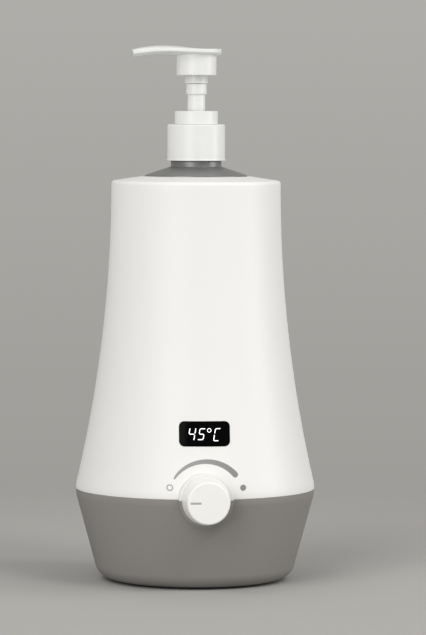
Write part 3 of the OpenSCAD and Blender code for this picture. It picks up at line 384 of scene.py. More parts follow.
# %% The housing's arcs
seam_z = next(j["pos_m"][2] for j in frame["joints"] if j["name"] == "knob_turn") / MM
belly_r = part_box("base_housing")[1].y / MM
foot_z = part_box("base_housing")[0].z / MM
crown_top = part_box("upper_housing")[1].z / MM
CROWN_R, CROWN_FALL, CROWN_EDGE, HOLE_R = 47.4, 2.7, 2.0, 29.3
BELLY_ROUND, BASE_LEAN, BASE_EDGE, BOSS_R = 20.0, math.radians(15.2), 9.5, 14.9
belly_cx = belly_r - BELLY_ROUND
crown_lean = math.atan(CROWN_FALL / (CROWN_R - HOLE_R))
crown_corner_z = crown_top - CROWN_FALL
crown_edge_z = crown_corner_z - CROWN_EDGE * (1 - math.sin(crown_lean)) / math.cos(crown_lean)
flare_span = ((crown_edge_z - seam_z) ** 2 + (belly_r - CROWN_R) ** 2) / (2 * (belly_r - CROWN_R))
flare_round = flare_span - BELLY_ROUND
cone_r = belly_cx + BELLY_ROUND * math.cos(BASE_LEAN)
cone_z = seam_z - BELLY_ROUND * math.sin(BASE_LEAN)
edge_z = foot_z + BASE_EDGE
edge_cx = cone_r + (math.sin(BASE_LEAN) * (edge_z - cone_z) - BASE_EDGE) / math.cos(BASE_LEAN)
# Arcs as middle radius, middle height, arc radius and the side that faces out
ARCS = ((CROWN_R + flare_round, crown_edge_z, flare_round, -1), (belly_cx, seam_z, BELLY_ROUND, 1),
        (edge_cx, edge_z, BASE_EDGE, 1), (CROWN_R - CROWN_EDGE, crown_edge_z, CROWN_EDGE, 1))
cone_out = Vector((math.cos(BASE_LEAN), -math.sin(BASE_LEAN)))
NEAR_MM, AIM_LIMIT = 0.06, math.radians(14)


def wall_directions(place):
    """Directions in which the true walls through a point face."""
    x, y, z = (v / MM for v in place)
    r = math.hypot(x, y)
    found = []
    for cx, cz, radius, side in ARCS:
        spoke = Vector((r - cx, z - cz))
        if abs(spoke.length - radius) < NEAR_MM:
            found.append(side * spoke.normalized())
    if abs((Vector((r, z)) - Vector((cone_r, cone_z))).dot(cone_out)) < NEAR_MM:
        found.append(cone_out)
    ways = [Vector((d.x * x / r, d.x * y / r, d.y)) for d in found if r > 0]
    boss = Vector((x, 0, z - seam_z))
    if y < 0 and abs(boss.length - BOSS_R) < NEAR_MM:
        ways.append(boss.normalized())
    return ways


print("flare of", round(flare_round), "mm radius above a belly of", BELLY_ROUND, "mm")

# %% [markdown]
# The two housings meet at the belly in a fine parting line, where both mouldings have a small radius.
# Only those edges are rounded. A Bevel modifier would take the edges of every cut-out with it, so the
# parting edges are picked by their place. Each face corner on a true wall then gets that wall's direction.

# %% Upper housing and base
SEAM_EDGE_MM, SEAM_NEAR_MM, SEAM_DEPTH_MM = 0.25, 0.01, 0.2


def outer_seam(edge):
    """Whether an edge is a sharp one on the outside of the parting line."""
    if len(edge.link_faces) != 2 or edge.calc_face_angle() < CREASE:
        return False
    if any(abs(v.co.z - seam_z * MM) > SEAM_NEAR_MM * MM for v in edge.verts):
        return False
    return all(v.co.xy.length > (belly_r - SEAM_DEPTH_MM) * MM for v in edge.verts)


def housing(node):
    """A merged housing with its parting edge rounded and its true walls shaded evenly."""
    piece = merged(node)
    with reshaping(piece.data) as shape:
        edges = [edge for edge in shape.edges if outer_seam(edge)]
        bmesh.ops.bevel(shape, geom=edges, offset=SEAM_EDGE_MM * MM, segments=2, profile=0.5, affect="EDGES")
    mesh = smoothed(piece).data
    normals = [Vector(corner.vector) for corner in mesh.corner_normals]
    turned_count = 0
    for face in mesh.polygons:
        for i in face.loop_indices:
            for way in wall_directions(mesh.vertices[mesh.loops[i].vertex_index].co):
                if way.angle(face.normal) < AIM_LIMIT:
                    normals[i] = way
                    turned_count += 1
    mesh.normals_split_custom_set(normals)
    print(node, len(edges), "parting edges,", turned_count, "of", len(normals), "corners set")
    return settle(piece, node)


upper = housing("upper_housing")
housing("base_housing")

# %% [markdown]
# The bottle's shoulder shows above the filling hole as a plain cone that rises to the neck ring. The
# construction's shoulder is a low dome. Turning the bottle anew would mean all its inner walls too, so
# a rule moves the dome's points only: they go onto the cone, and the body's wide edge becomes a small one.

# %% Bottle
BODY_R, NECK_RING_R, SHOULDER_Z, SHOULDER_H = 28.7, 14.15, 226.8, 4.8
DOME_EDGE, DOME_LOW, CONE_EDGE, CONE_LIFT, BOTTLE_EDGE = 1.4, 0.6, 0.4, 0.4, 0.2
# The climb over the dome ends at 1, and rounding may put its last points a hair past that
CLIMB_END = 1.001
dome_r = BODY_R - DOME_EDGE


def coned(place):
    """A point of the bottle, moved to the cone if it lies on the outside of the dome or its edge."""
    r = place.xy.length / MM
    z = place.z / MM - SHOULDER_Z
    climb = (dome_r - r) / (dome_r - NECK_RING_R)
    dome = DOME_LOW + (SHOULDER_H - DOME_LOW) * math.sin(climb * math.pi / 2)
    if 0 < climb < CLIMB_END and abs(z - dome) < NEAR_MM:
        cone = CONE_LIFT + SHOULDER_H * (BODY_R - r) / (BODY_R - NECK_RING_R)
        return place + Vector((0, 0, cone - z)) * MM
    spoke = Vector((r - dome_r, z + DOME_EDGE))
    if min(spoke) > 0 and abs(spoke.length - DOME_EDGE) < NEAR_MM:
        spoke = spoke / DOME_EDGE
        wide = (BODY_R - CONE_EDGE * (1 - spoke.x)) / r
        high = SHOULDER_Z + CONE_LIFT - CONE_EDGE * (1 - spoke.y)
        return Vector((place.x * wide, place.y * wide, high * MM))
    return place


bottle = softened("bottle", BOTTLE_EDGE, coned)
print("bottle:", len(bottle.data.polygons), "faces, cone", SHOULDER_H, "mm high")

# %% [markdown]
# Geometry Nodes trees are recipes with named sizes. Each tree here starts from a small mesh made in code
# (an outline, a path or a few points) and ends in Realize Instances and Set Material, so that nothing
# is left as an instance. The result is then kept as plain mesh and the modifier is taken off.

# %% Tree helpers
def geometry_tree(name, sizes):
    """A tree with named inputs, its input sockets and a mesh input called Geometry."""
    tree = bpy.data.node_groups.new(name, "GeometryNodeTree")
    tree.interface.new_socket("Geometry", in_out="INPUT", socket_type="NodeSocketGeometry")
    for label, kind in sizes.items():
        tree.interface.new_socket(label, in_out="INPUT", socket_type="NodeSocket" + kind)
    tree.interface.new_socket("Material", in_out="INPUT", socket_type="NodeSocketMaterial")
    tree.interface.new_socket("Geometry", in_out="OUTPUT", socket_type="NodeSocketGeometry")
    return tree, add(tree, "NodeGroupInput").outputs


def close_tree(tree, given, shape):
    """Ends a tree in real mesh that wears its material."""
    real = add(tree, "GeometryNodeRealizeInstances", {"Geometry": shape})
    dressed = add(tree, "GeometryNodeSetMaterial",
                  {"Geometry": real.outputs[0], "Material": given["Material"]})
    add(tree, "NodeGroupOutput", {"Geometry": dressed.outputs[0]})


def grow(name, tree, start, values):
    """Runs a tree on a start mesh and keeps the result as a plain mesh."""
    piece = piece_from(name, start)
    run = piece.modifiers.new(tree.name, "NODES")
    run.node_group = tree
    for item in tree.interface.items_tree:
        if item.in_out == "INPUT" and item.name in values:
            run[item.identifier] = values[item.name]
    return baked(piece)


def path_mesh(points, closed=False, **attributes):
    """A mesh of points joined in a row, with a named number on each point."""
    count = len(points)
    edges = [(i, i + 1) for i in range(count - 1)]
    if closed:
        edges.append((count - 1, 0))
    mesh = bpy.data.meshes.new("path")
    mesh.from_pydata(points, edges, [])
    for name, numbers in attributes.items():
        mesh.attributes.new(name, "FLOAT", "POINT").data.foreach_set("value", numbers)
    return mesh


print("helpers: geometry_tree, close_tree, grow and path_mesh")

# %% [markdown]
# The pump's cap, collar, stem and skirt are all round about the pump's axis. They could be spun in mesh
# code, but one tree is enough: it takes an outline, lays a grid with one row for each outline point and
# one column for each step of the turn, and swings each column round.

# %% Turned piece tree
def turned_piece_tree():
    """Outline points in the XZ plane, swung round Z."""
    tree, given = geometry_tree("Turned piece", {"Segments": "Int"})
    outline = given["Geometry"]
    rows = add(tree, "GeometryNodeAttributeDomainSize", {"Geometry": outline}).outputs["Point Count"]
    columns = add(tree, "FunctionNodeIntegerMath", {0: given["Segments"], 1: 1}, operation="ADD").outputs[0]
    grid = add(tree, "GeometryNodeMeshGrid", {"Vertices X": columns, "Vertices Y": rows}).outputs["Mesh"]
    index = add(tree, "GeometryNodeInputIndex").outputs[0]
    row = add(tree, "FunctionNodeIntegerMath", {0: index, 1: rows}, operation="MODULO").outputs[0]
    column = add(tree, "FunctionNodeIntegerMath", {0: index, 1: rows}, operation="DIVIDE_FLOOR").outputs[0]
    place = add(tree, "GeometryNodeInputPosition").outputs[0]
    point = add(tree, "GeometryNodeSampleIndex", {"Geometry": outline, "Value": place, "Index": row},
                data_type="FLOAT_VECTOR").outputs[0]
    share = add(tree, "ShaderNodeMath", {0: column, 1: given["Segments"]}, operation="DIVIDE").outputs[0]
    angle = add(tree, "ShaderNodeMath", {0: share, 1: math.tau}, operation="MULTIPLY").outputs[0]
    swung = add(tree, "ShaderNodeVectorRotate", {"Vector": point, "Angle": angle}, rotation_type="Z_AXIS")
    skin = add(tree, "GeometryNodeSetPosition", {"Geometry": grid, "Position": swung.outputs[0]}).outputs[0]
    whole = add(tree, "GeometryNodeMergeByDistance", {"Geometry": skin, "Distance": WELD_MM * MM}).outputs[0]
    close_tree(tree, given, whole)
    return tree


turned_tree = turned_piece_tree()
print("tree:", turned_tree.name, "with", len(turned_tree.nodes), "nodes")

# %% [markdown]
# An outline is a list of corners, each with its radius from the axis, its height and the radius of its
# edge. A Bevel modifier would give all edges one width; here the arc at each corner is worked out, so a
# cap can have a soft shoulder and a crisp foot.

# %% Outlines
TURN_STEPS = 128


def rounded(corners, steps=4):
    """The outline through corners of radius, height and edge radius, in millimetres."""
    points = []
    for i, (radius, height, edge) in enumerate(corners):
        corner = Vector((radius, height))
        before = (Vector(corners[i - 1][:2]) - corner).normalized()
        after = (Vector(corners[(i + 1) % len(corners)][:2]) - corner).normalized()
        half = before.angle(after) / 2
        if not edge:
            points.append(corner)
            continue
        middle = corner + (before + after).normalized() * edge / math.sin(half)
        first = corner + before * edge / math.tan(half) - middle
        last = corner + after * edge / math.tan(half) - middle
        points.extend(middle + edge * first.slerp(last, k / steps) for k in range(steps + 1))
    return points


def turned(name, corners, material):
    """A piece turned from a closed outline."""
    outline = rounded(corners)
    points = [(p.x * MM, 0, p.y * MM) for p in outline + outline[:1]]
    piece = grow(name, turned_tree, path_mesh(points), {"Segments": TURN_STEPS, "Material": material})
    return outward(piece)


print("turned pieces have", TURN_STEPS, "steps in a turn")

# %% [markdown]
# The cap screws down on the bottle and has a small lip at its foot. It could be a softened copy of its
# node, but a turned outline gives each edge a radius of its own. Heights and outer radii come from the
# construction, so the turned pieces fit it exactly.

# %% Cap
def levels(node):
    """Lowest height, highest height and outer radius of a round node, in millimetres."""
    low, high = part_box(node)
    return low.z / MM, high.z / MM, high.y / MM


pump_white = finish["white_pump_plastic"]
cap_low, cap_top, lip_r = levels("closure_cap")
CAP_R, CAP_IN_R, CAP_HOLE_R = 16.15, 14.3, 9.43
CAP_ROOF, LIP_H = 1.6, 1.2
cap = turned("closure_cap_finished", [
    (CAP_IN_R, cap_low, 0.2), (lip_r, cap_low, 0.15), (lip_r, cap_low + LIP_H / 2, 0.2),
    (CAP_R, cap_low + LIP_H, 0.3), (CAP_R, cap_top, 1.0), (CAP_HOLE_R, cap_top, 0.2),
    (CAP_HOLE_R, cap_top - CAP_ROOF, 0.1), (CAP_IN_R, cap_top - CAP_ROOF, 0.3)], pump_white)
settle(smoothed(cap), "closure_cap")
print("cap:", [round(v / MM, 2) for v in cap.dimensions], "mm")

# %% [markdown]
# The collar above the cap guides the stem. Its mouth is stepped, because the stem's ring and the head's
# socket dive into it when the pump is pressed, and its lower end is a plug that reaches down through the
# cap. One outline runs round all of these steps.

# %% Collar
guide_low, collar_top, collar_r = levels("chaplet")
SLIDE_R, PLUG_R, COLLAR_NECK_R = 4.98, 6.98, 9.33
COLLAR_H, PLUG_GAP, RING_ROOM_R, RING_ROOM_D, SOCKET_ROOM_R, SOCKET_ROOM_D = 7.3, 0.1, 6.13, 7.9, 6.83, 2.1
collar_low = collar_top - COLLAR_H
plug_top = cap_top - CAP_ROOF - PLUG_GAP
collar = turned("chaplet_finished", [
    (SLIDE_R, guide_low, 0.1), (PLUG_R, guide_low, 0.3), (PLUG_R, plug_top, 0),
    (COLLAR_NECK_R, plug_top, 0.1), (COLLAR_NECK_R, collar_low, 0), (collar_r, collar_low, 0.15),
    (collar_r, collar_top, 0.5), (SOCKET_ROOM_R, collar_top, 0.25),
    (SOCKET_ROOM_R, collar_top - SOCKET_ROOM_D, 0),
    (RING_ROOM_R, collar_top - SOCKET_ROOM_D, 0.1), (RING_ROOM_R, collar_top - RING_ROOM_D, 0),
    (SLIDE_R, collar_top - RING_ROOM_D, 0.1)], pump_white)
settle(smoothed(collar), "chaplet")
print("collar:", [round(v / MM, 2) for v in collar.dimensions], "mm")

# %% [markdown]
# The stem is a hollow rod with a thicker ring on it. The head sits on its top, and its foot is bored wider
# to hold the piston's rod. Its outline has the bore on one side and the steps on the other.

# %% Stem
stem_low, stem_top, stem_ring_r = levels("pump_stem")
STEM_R, STEM_BORE_R, RING_RISE, RING_H, ROD_GRIP_R, ROD_GRIP_D = 4.93, 2.2, 9.5, 5.8, 3.05, 6.1
ring_low = collar_top + RING_RISE
ring_top = ring_low + RING_H
stem = turned("pump_stem_finished", [
    (ROD_GRIP_R, stem_low, 0.1), (STEM_R, stem_low, 0.3), (STEM_R, ring_low, 0.1),
    (stem_ring_r, ring_low, 0.15), (stem_ring_r, ring_top, 0.4), (STEM_R, ring_top, 0),
    (STEM_R, stem_top, 0.2), (STEM_BORE_R, stem_top, 0.1), (STEM_BORE_R, stem_low + ROD_GRIP_D, 0),
    (ROD_GRIP_R, stem_low + ROD_GRIP_D, 0)], pump_white)
settle(smoothed(stem), "pump_stem")
print("stem:", [round(v / MM, 2) for v in stem.dimensions], "mm")

# %% [markdown]
# The pump's head is the piece that takes most care: a thin blade, flat over the skirt, that rises in a
# wave and falls to the spout's tip. It could be sculpted, but its shape follows a rule along its length,
# so the code writes the rule down: the height, the half width, the fall of the top to its edges and the
# depth of the belly.

# %% The blade's rule
REACH, BACK_R, TIP_HALF_W = -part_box("pump_head")[0].x / MM, 14.0, 5.0
CREST_X, CREST_H, TIP_FALL, WAVE_BACK = 18.0, 1.7, 0.5, 24.0
FLAT_CROWN, CREST_CROWN, TIP_CROWN = 0.3, 1.3, 0.9
RIM_H, BELLY_D, BACK_POWER = 2.0, 2.3, 8
TIP_SLANT, TIP_FADE = 0.3, 2.0
TOP_EDGE, LOW_EDGE, TINY_MM = 0.5, 0.4, 0.01
head_low, head_top, _ = levels("pump_head")
flat_z = head_top - CREST_H


def wave(x):
    """Height of the blade's middle line."""
    if x > -CREST_X:
        return flat_z + CREST_H * (1 + math.cos(math.pi * min(1, (x + CREST_X) / WAVE_BACK))) / 2
    return flat_z + CREST_H - (CREST_H + TIP_FALL) * ((x + CREST_X) / (REACH - CREST_X)) ** 2


def half_width(x):
    """Half the blade's width."""
    if x > 0:
        return math.sqrt(max(BACK_R ** 2 - x ** 2, 0))
    return TIP_HALF_W + (BACK_R - TIP_HALF_W) * (1 + math.cos(math.pi * x / REACH)) / 2


def crown(x):
    """Fall of the top from the middle line to the rim."""
    share = max(0, wave(x) - flat_z) / CREST_H
    return (TIP_CROWN if x < -CREST_X else FLAT_CROWN) * (1 - share) + CREST_CROWN * share


def outness(x, y):
    """How far out a point lies, from 0 at the middle line to 1 at the rim."""
    half = half_width(x)
    return min(abs(y) / half, 1) if half > TINY_MM else 1


def top_z(x, y):
    """Height of the blade's top."""
    return wave(x) - crown(x) * outness(x, y) ** 2


def belly_z(x, y):
    """Height of the blade's belly, which runs out at the round back."""
    depth = BELLY_D * (math.sqrt(max(1 - (x / BACK_R) ** BACK_POWER, 0)) if x > 0 else 1)
    return wave(x) - crown(x) - RIM_H - depth * (1 - outness(x, y) ** 2)


print("crest", round(wave(-CREST_X), 2), "mm, tip", round(wave(-REACH), 2), "mm above the table")

# %% [markdown]
# A cross-section of the blade has a gently domed top, a rim with a small radius above and below, and a
# belly. Half of it is enough, from the middle of the top round the rim to the middle of the belly,
# because both sides are alike.

# %% Half a cross-section
TOP_POINTS, BELLY_POINTS, EDGE_POINTS = 6, 9, 4


def bend(first, corner, last):
    """Points of a small rounded edge between two points, round a corner."""
    points = []
    for k in range(1, EDGE_POINTS + 1):
        t = k / EDGE_POINTS
        points.append(first * (1 - t) ** 2 + corner * 2 * t * (1 - t) + last * t ** 2)
    return points


def half_section(at, half):
    """Half a cross-section, from the middle of the top round the rim to the middle of the belly.

    at(reach) gives the place of a point that lies so far out from the middle."""
    def on(height, reach):
        x, y = at(reach)
        return Vector((x, y, height(x, y)))

    points = [on(top_z, (half - TOP_EDGE) * k / TOP_POINTS) for k in range(TOP_POINTS + 1)]
    rim = on(top_z, half)
    points += bend(points[-1], rim, rim - Vector((0, 0, TOP_EDGE)))
    foot = rim - Vector((0, 0, RIM_H))
    inner = half - LOW_EDGE
    points.append(foot + Vector((0, 0, LOW_EDGE)))
    points += bend(points[-1], foot, on(belly_z, inner))
    for k in range(1, BELLY_POINTS + 1):
        points.append(on(belly_z, inner * math.sqrt(1 - (k / BELLY_POINTS) ** 2)))
    return points


def slanted(points, x):
    """Leans a section near the tip, so that the spout's end faces a little downwards."""
    fade = max(0, 1 - (x + REACH) / TIP_FADE)
    top = points[0].z
    return [p + Vector((TIP_SLANT * (top - p.z) * fade, 0, 0)) for p in points]


print("half a section has", len(half_section(lambda reach: (0, reach), BACK_R)), "points")

# %% [markdown]
# The half section runs down one side of the blade, round its back and up the other side, like a strip of
# card walked round the rim. Slices across the whole blade would crowd at its round back; this way the
# edge's small radius stays even all the way.

# %% The blade's skin
LENGTH_STEPS, BACK_STEPS = 40, 48
# The tip's rounded end: steps back along the blade, and steps in from its rim
TIP_ROUND = ((0.3, 0.0), (0.09, 0.09), (0.0, 0.3))


def blade_mesh():
    """The blade as one closed skin."""
    sections = []
    spots = [-REACH * (1 - k / LENGTH_STEPS) for k in range(LENGTH_STEPS)]
    for side in (1, -1):
        run = []
        for x in spots[1:]:
            run.append(slanted(half_section(lambda reach: (x, side * reach), half_width(x)), x))
        end = slanted(half_section(lambda reach: (-REACH, side * reach), half_width(-REACH)), -REACH)
        middle = (end[0] + end[-1]) / 2
        height = (end[0] - end[-1]).z / 2
        for back, inset in TIP_ROUND:
            ring = []
            for p in end:
                rise = (p.z - middle.z) * (1 - inset / height)
                ring.append(Vector((p.x + back, p.y * (1 - inset / TIP_HALF_W), middle.z + rise)))
            run.insert(0, ring)
        sections.append(run)
    turn = []
    for k in range(BACK_STEPS + 1):
        angle = math.pi * k / BACK_STEPS
        turn.append(half_section(lambda reach: (reach * math.sin(angle), reach * math.cos(angle)), BACK_R))
    strip = sections[0] + turn + sections[1][::-1]
    count = len(strip[0])
    points = [tuple(p * MM) for section in strip for p in section]
    faces = []
    for i in range(len(strip) - 1):
        for k in range(count - 1):
            a = i * count + k
            faces.append((a, a + 1, a + count + 1, a + count))
    last = (len(strip) - 1) * count
    faces.append(tuple(range(count)) + tuple(last + k for k in range(count - 1, -1, -1)))
    mesh = bpy.data.meshes.new("blade")
    mesh.from_pydata(points, [], faces)
    mesh.materials.append(pump_white)
    return mesh


head = outward(piece_from("pump_head_finished", blade_mesh()))
print("blade:", len(head.data.polygons), "faces")

# %% [markdown]
# The skirt and the socket that grips the stem are turned, and a Boolean joins them to the blade's belly.
# Another one drills the outlet in the tip. Booleans keep the crisp line where skirt and belly meet.

# %% Skirt and outlet
SKIRT_LOW, SKIRT_R, SKIRT_IN_R, SOCKET_R = 282.9, 11.16, 9.66, 6.43
ROOF_LOW, SKIRT_TOP, STEM_STOP = 293.1, 296.3, 292.4
OUTLET_R, OUTLET_DROP, OUTLET_LEN, OUTLET_RISE = 0.99, 2.6, 7.0, 0.12
skirt = turned("skirt", [
    (SLIDE_R, head_low, 0.15), (SOCKET_R, head_low, 0.25), (SOCKET_R, ROOF_LOW, 0),
    (SKIRT_IN_R, ROOF_LOW, 0), (SKIRT_IN_R, SKIRT_LOW, 0.2), (SKIRT_R, SKIRT_LOW, 0.4),
    (SKIRT_R, SKIRT_TOP, 0), (0, SKIRT_TOP, 0), (0, STEM_STOP, 0), (SLIDE_R, STEM_STOP, 0)], pump_white)
outlet = piece_from("outlet", bpy.data.meshes.new("outlet"))
with reshaping(outlet.data) as drill:
    bmesh.ops.create_cone(drill, cap_ends=True, segments=32, radius1=OUTLET_R * MM, radius2=OUTLET_R * MM,
                          depth=OUTLET_LEN * MM)
aim = Vector((1, 0, OUTLET_RISE)).normalized()
outlet.data.transform(aim.to_track_quat("Z", "Y").to_matrix().to_4x4())
outlet.data.transform(Matrix.Translation(Vector((-REACH, 0, wave(-REACH) - OUTLET_DROP)) * MM))
for tool, operation in ((skirt, "UNION"), (outlet, "DIFFERENCE")):
    cut = head.modifiers.new(operation, "BOOLEAN")
    cut.operation = operation
    cut.object = tool
    cut.solver = "EXACT"
    baked(head)
    bpy.data.objects.remove(tool)
settle(smoothed(head), "pump_head")
print("pump head:", [round(v / MM, 2) for v in head.dimensions], "mm")

# %% [markdown]
# A tree for round wire follows any path: the pump's return spring and the screw threads use it. A Screw
# modifier winds a helix too, but only with one pitch and one thickness. Here each path point has its own
# height, and carries a taper that thins the wire.

# %% Wire tree
def wire_tree():
    """Round wire along a path, thinned by each point's taper."""
    tree, given = geometry_tree("Wire along a path", {"Radius": "Float", "Sides": "Int"})
    path = add(tree, "GeometryNodeMeshToCurve", {"Mesh": given["Geometry"]}).outputs[0]
    ring = add(tree, "GeometryNodeCurvePrimitiveCircle",
               {"Resolution": given["Sides"], "Radius": given["Radius"]}).outputs["Curve"]
    taper = add(tree, "GeometryNodeInputNamedAttribute", {"Name": "taper"}, data_type="FLOAT")
    wire = add(tree, "GeometryNodeCurveToMesh", {"Curve": path, "Profile Curve": ring, "Fill Caps": True,
                                                 "Scale": taper.outputs["Attribute"]}).outputs[0]
    close_tree(tree, given, wire)
    return tree


round_wire = wire_tree()


def helix(radius, turns, height_at, steps=32):
    """Points of a helix in metres; height_at gives the height in millimetres at each turn."""
    points = []
    for i in range(int(turns * steps) + 1):
        turn = i / steps
        angle = math.tau * turn
        points.append((radius * math.cos(angle) * MM, radius * math.sin(angle) * MM, height_at(turn) * MM))
    return points


print("tree:", round_wire.name, "with", len(round_wire.nodes), "nodes")

# %% [markdown]
# The return spring is wound from bright wire, with a close curl at each end, for a flat seat, and open
# curls between. It shortens as the pump goes down.

# %% Spring
WIRE_R, WIRE_LIFT, CURLS, END_PITCH = 0.5, 0.43, 9, 1.5
SPRING_LEN = 29.9
spring_low, _, spring_out = levels("pump_spring")
spring_foot = spring_low + WIRE_LIFT
mid_pitch = (SPRING_LEN - 2 * END_PITCH) / (CURLS - 2)


def spring_height(turn):
    """A close curl at each end and open curls between."""
    if turn < 1:
        return spring_foot + turn * END_PITCH
    if turn > CURLS - 1:
        return spring_foot + SPRING_LEN - (CURLS - turn) * END_PITCH
    return spring_foot + END_PITCH + (turn - 1) * mid_pitch


coil = helix(spring_out - WIRE_R, CURLS, spring_height)
spring = grow("pump_spring_finished", round_wire, path_mesh(coil, taper=[1.0] * len(coil)),
              {"Radius": WIRE_R * MM, "Sides": 12, "Material": finish["spring_steel"]})
settle(smoothed(outward(spring)), "pump_spring")
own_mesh(spring)
print("spring of", CURLS, "curls, open ones", round(mid_pitch, 2), "mm apart")

# %% [markdown]
# A rounded thread joins the bottle's neck and the cap. The construction only leaves room for it, because a
# thread has many faces and nothing rests on it there. It is a bead along a helix, half sunk into its
# wall, that runs out at both ends as a moulded one does.

# %% Threads
THREAD_LOW, THREAD_PITCH, THREAD_STEPS, RUN_OUT, END_SHARE = 239.0, 4.233, 64, 0.2, 0.25


def thread(name, node, radius, bead, turns, start):
    """A rounded thread on or in a neck, which runs out at both ends."""
    points = helix(radius, turns, lambda turn: THREAD_LOW + (turn + start) * THREAD_PITCH, THREAD_STEPS)
    ends = [min(i, len(points) - 1 - i) / (THREAD_STEPS * RUN_OUT) for i in range(len(points))]
    taper = [END_SHARE + (1 - END_SHARE) * min(1, end) for end in ends]
    piece = grow(name, round_wire, path_mesh(points, taper=taper),
                 {"Radius": bead * MM, "Sides": 14, "Material": finish_of(node)})
    settle(smoothed(outward(piece)), node, hides=False)


thread("neck_thread", "bottle", radius=12.8, bead=0.85, turns=2.4, start=0.0)
thread("cap_thread", "closure_cap", radius=14.1, bead=0.7, turns=2.0, start=0.5)
print("threads of", THREAD_PITCH, "mm pitch")

# %% [markdown]
# The dial's marks are printed on the flared wall, and the lit read-out shows on the curved window. Both
# have to follow the surface under them. A Shrinkwrap modifier could lay them on; the tree does the same
# and draws them too. It makes each stroke a ribbon in a flat plane, as wide as its points say, and then
# shoots a ray from each ribbon point straight back onto the target.

# %% Print tree
def print_tree():
    """Ribbons along paths in the XZ plane, laid back onto a target along +Y."""
    tree, given = geometry_tree("Print on a surface", {"Target": "Object"})
    path = add(tree, "GeometryNodeMeshToCurve", {"Mesh": given["Geometry"]}).outputs[0]
    facing = add(tree, "GeometryNodeSetCurveNormal", {"Curve": path, "Normal": (0.0, -1.0, 0.0)}, mode="FREE")
    line = add(tree, "GeometryNodeCurvePrimitiveLine", {"Start": (0, -0.5, 0), "End": (0, 0.5, 0)})
    bar = add(tree, "GeometryNodeResampleCurve", {"Curve": line.outputs[0], "Count": 5})
    width = add(tree, "GeometryNodeInputNamedAttribute", {"Name": "width"}, data_type="FLOAT")
    ribbon = add(tree, "GeometryNodeCurveToMesh",
                 {"Curve": facing.outputs[0], "Profile Curve": bar.outputs[0],
                  "Scale": width.outputs["Attribute"]}).outputs[0]
    target = add(tree, "GeometryNodeObjectInfo", {"Object": given["Target"]}).outputs["Geometry"]
    place = add(tree, "GeometryNodeInputPosition").outputs[0]
    ray = add(tree, "GeometryNodeRaycast", {"Target Geometry": target, "Source Position": place,
                                            "Ray Direction": (0.0, 1.0, 0.0), "Ray Length": 1.0})
    laid = add(tree, "GeometryNodeSetPosition", {"Geometry": ribbon, "Selection": ray.outputs["Is Hit"],
                                                 "Position": ray.outputs["Hit Position"]}).outputs[0]
    whole = add(tree, "GeometryNodeMergeByDistance", {"Geometry": laid, "Distance": WELD_MM * MM}).outputs[0]
    close_tree(tree, given, whole)
    return tree


laid_print = print_tree()
print("tree:", laid_print.name, "with", len(laid_print.nodes), "nodes")

# %% [markdown]
# Every mark is drawn as with a pen: a path, and the pen's width at each point of it. The ends are rounded
# by thinning the pen over its last half width. The paths lie in a plane in front of the object.

# %% Pen strokes
PRINT_PLANE = -150.0
PEN_STEPS, PEN_TIP, PATH_STEP = 6, 0.02, 0.25


def along(corners, widths):
    """Points and widths every PATH_STEP millimetres along straight runs between corners."""
    points, pens = [], []
    for (a, b), (wa, wb) in zip(zip(corners, corners[1:]), zip(widths, widths[1:])):
        run = Vector(b) - Vector(a)
        steps = max(1, round(run.length / PATH_STEP))
        for k in range(steps):
            points.append(Vector(a) + run * k / steps)
            pens.append(wa + (wb - wa) * k / steps)
    return points + [Vector(corners[-1])], pens + [widths[-1]]


def stroke(corners, widths):
    """A pen stroke with round ends: path points and the width at each."""
    points, pens = along(corners, widths)
    caps = []
    for end, inner, pen in ((points[0], points[1], pens[0]), (points[-1], points[-2], pens[-1])):
        out = (end - inner).normalized()
        cap = []
        for k in range(1, PEN_STEPS + 1):
            angle = math.pi / 2 * k / PEN_STEPS
            cap.append((end + out * pen / 2 * math.sin(angle), pen * max(math.cos(angle), PEN_TIP)))
        caps.append(cap)
    head_cap, tail_cap = caps
    rows = head_cap[::-1] + list(zip(points, pens)) + tail_cap
    return path_mesh([(p.x * MM, PRINT_PLANE * MM, p.y * MM) for p, _ in rows],
                     width=[pen * MM for _, pen in rows])


def ring(x, z, radius, pen, steps=48):
    """A closed ring drawn with a pen of one width."""
    points = []
    for k in range(steps):
        angle = math.tau * k / steps
        points.append(((x + radius * math.cos(angle)) * MM, PRINT_PLANE * MM,
                       (z + radius * math.sin(angle)) * MM))
    return path_mesh(points, closed=True, width=[pen * MM] * steps)


print("a pen point every", PATH_STEP, "mm")

# %% [markdown]
# Ink is a thin film, and a bare sheet of faces would show the wall through it in patches. So the laid
# ribbons become one mesh that faces the front, sink a little into the wall, and get their thickness
# from a Solidify modifier.

# %% Ink film
FILM_MM, FILM_SUNK_MM = 0.08, 0.03


def printed(name, paths, target, material, node):
    """Prints paths on a target as one thin piece that rides with a node."""
    mesh = bpy.data.meshes.new(name)
    with reshaping(mesh) as shape:
        for path in paths:
            part = grow(name + "_part", laid_print, path, {"Target": target, "Material": material})
            shape.from_mesh(part.data)
            bpy.data.objects.remove(part)
        bmesh.ops.recalc_face_normals(shape, faces=shape.faces)
        for face in shape.faces:
            if face.normal.y > 0:
                face.normal_flip()
        for vert in shape.verts:
            vert.co.y += FILM_SUNK_MM * MM
    mesh.materials.append(material)
    piece = piece_from(name, mesh)
    film = piece.modifiers.new("Film", "SOLIDIFY")
    film.thickness = FILM_MM * MM
    film.offset = 1.0
    smoothed(baked(piece))
    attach(piece, body_of[node])
    return piece


print("ink film of", FILM_MM, "mm")

# %% [markdown]
# The dial is a sweep that grows wider and darker from an open ring, for off, to a filled dot, for full
# heat. It could be an image, but then its edges would blur close up. Pen strokes need only a path and a
# width at each point, and the ink's two colours are mixed by the place across the dial.

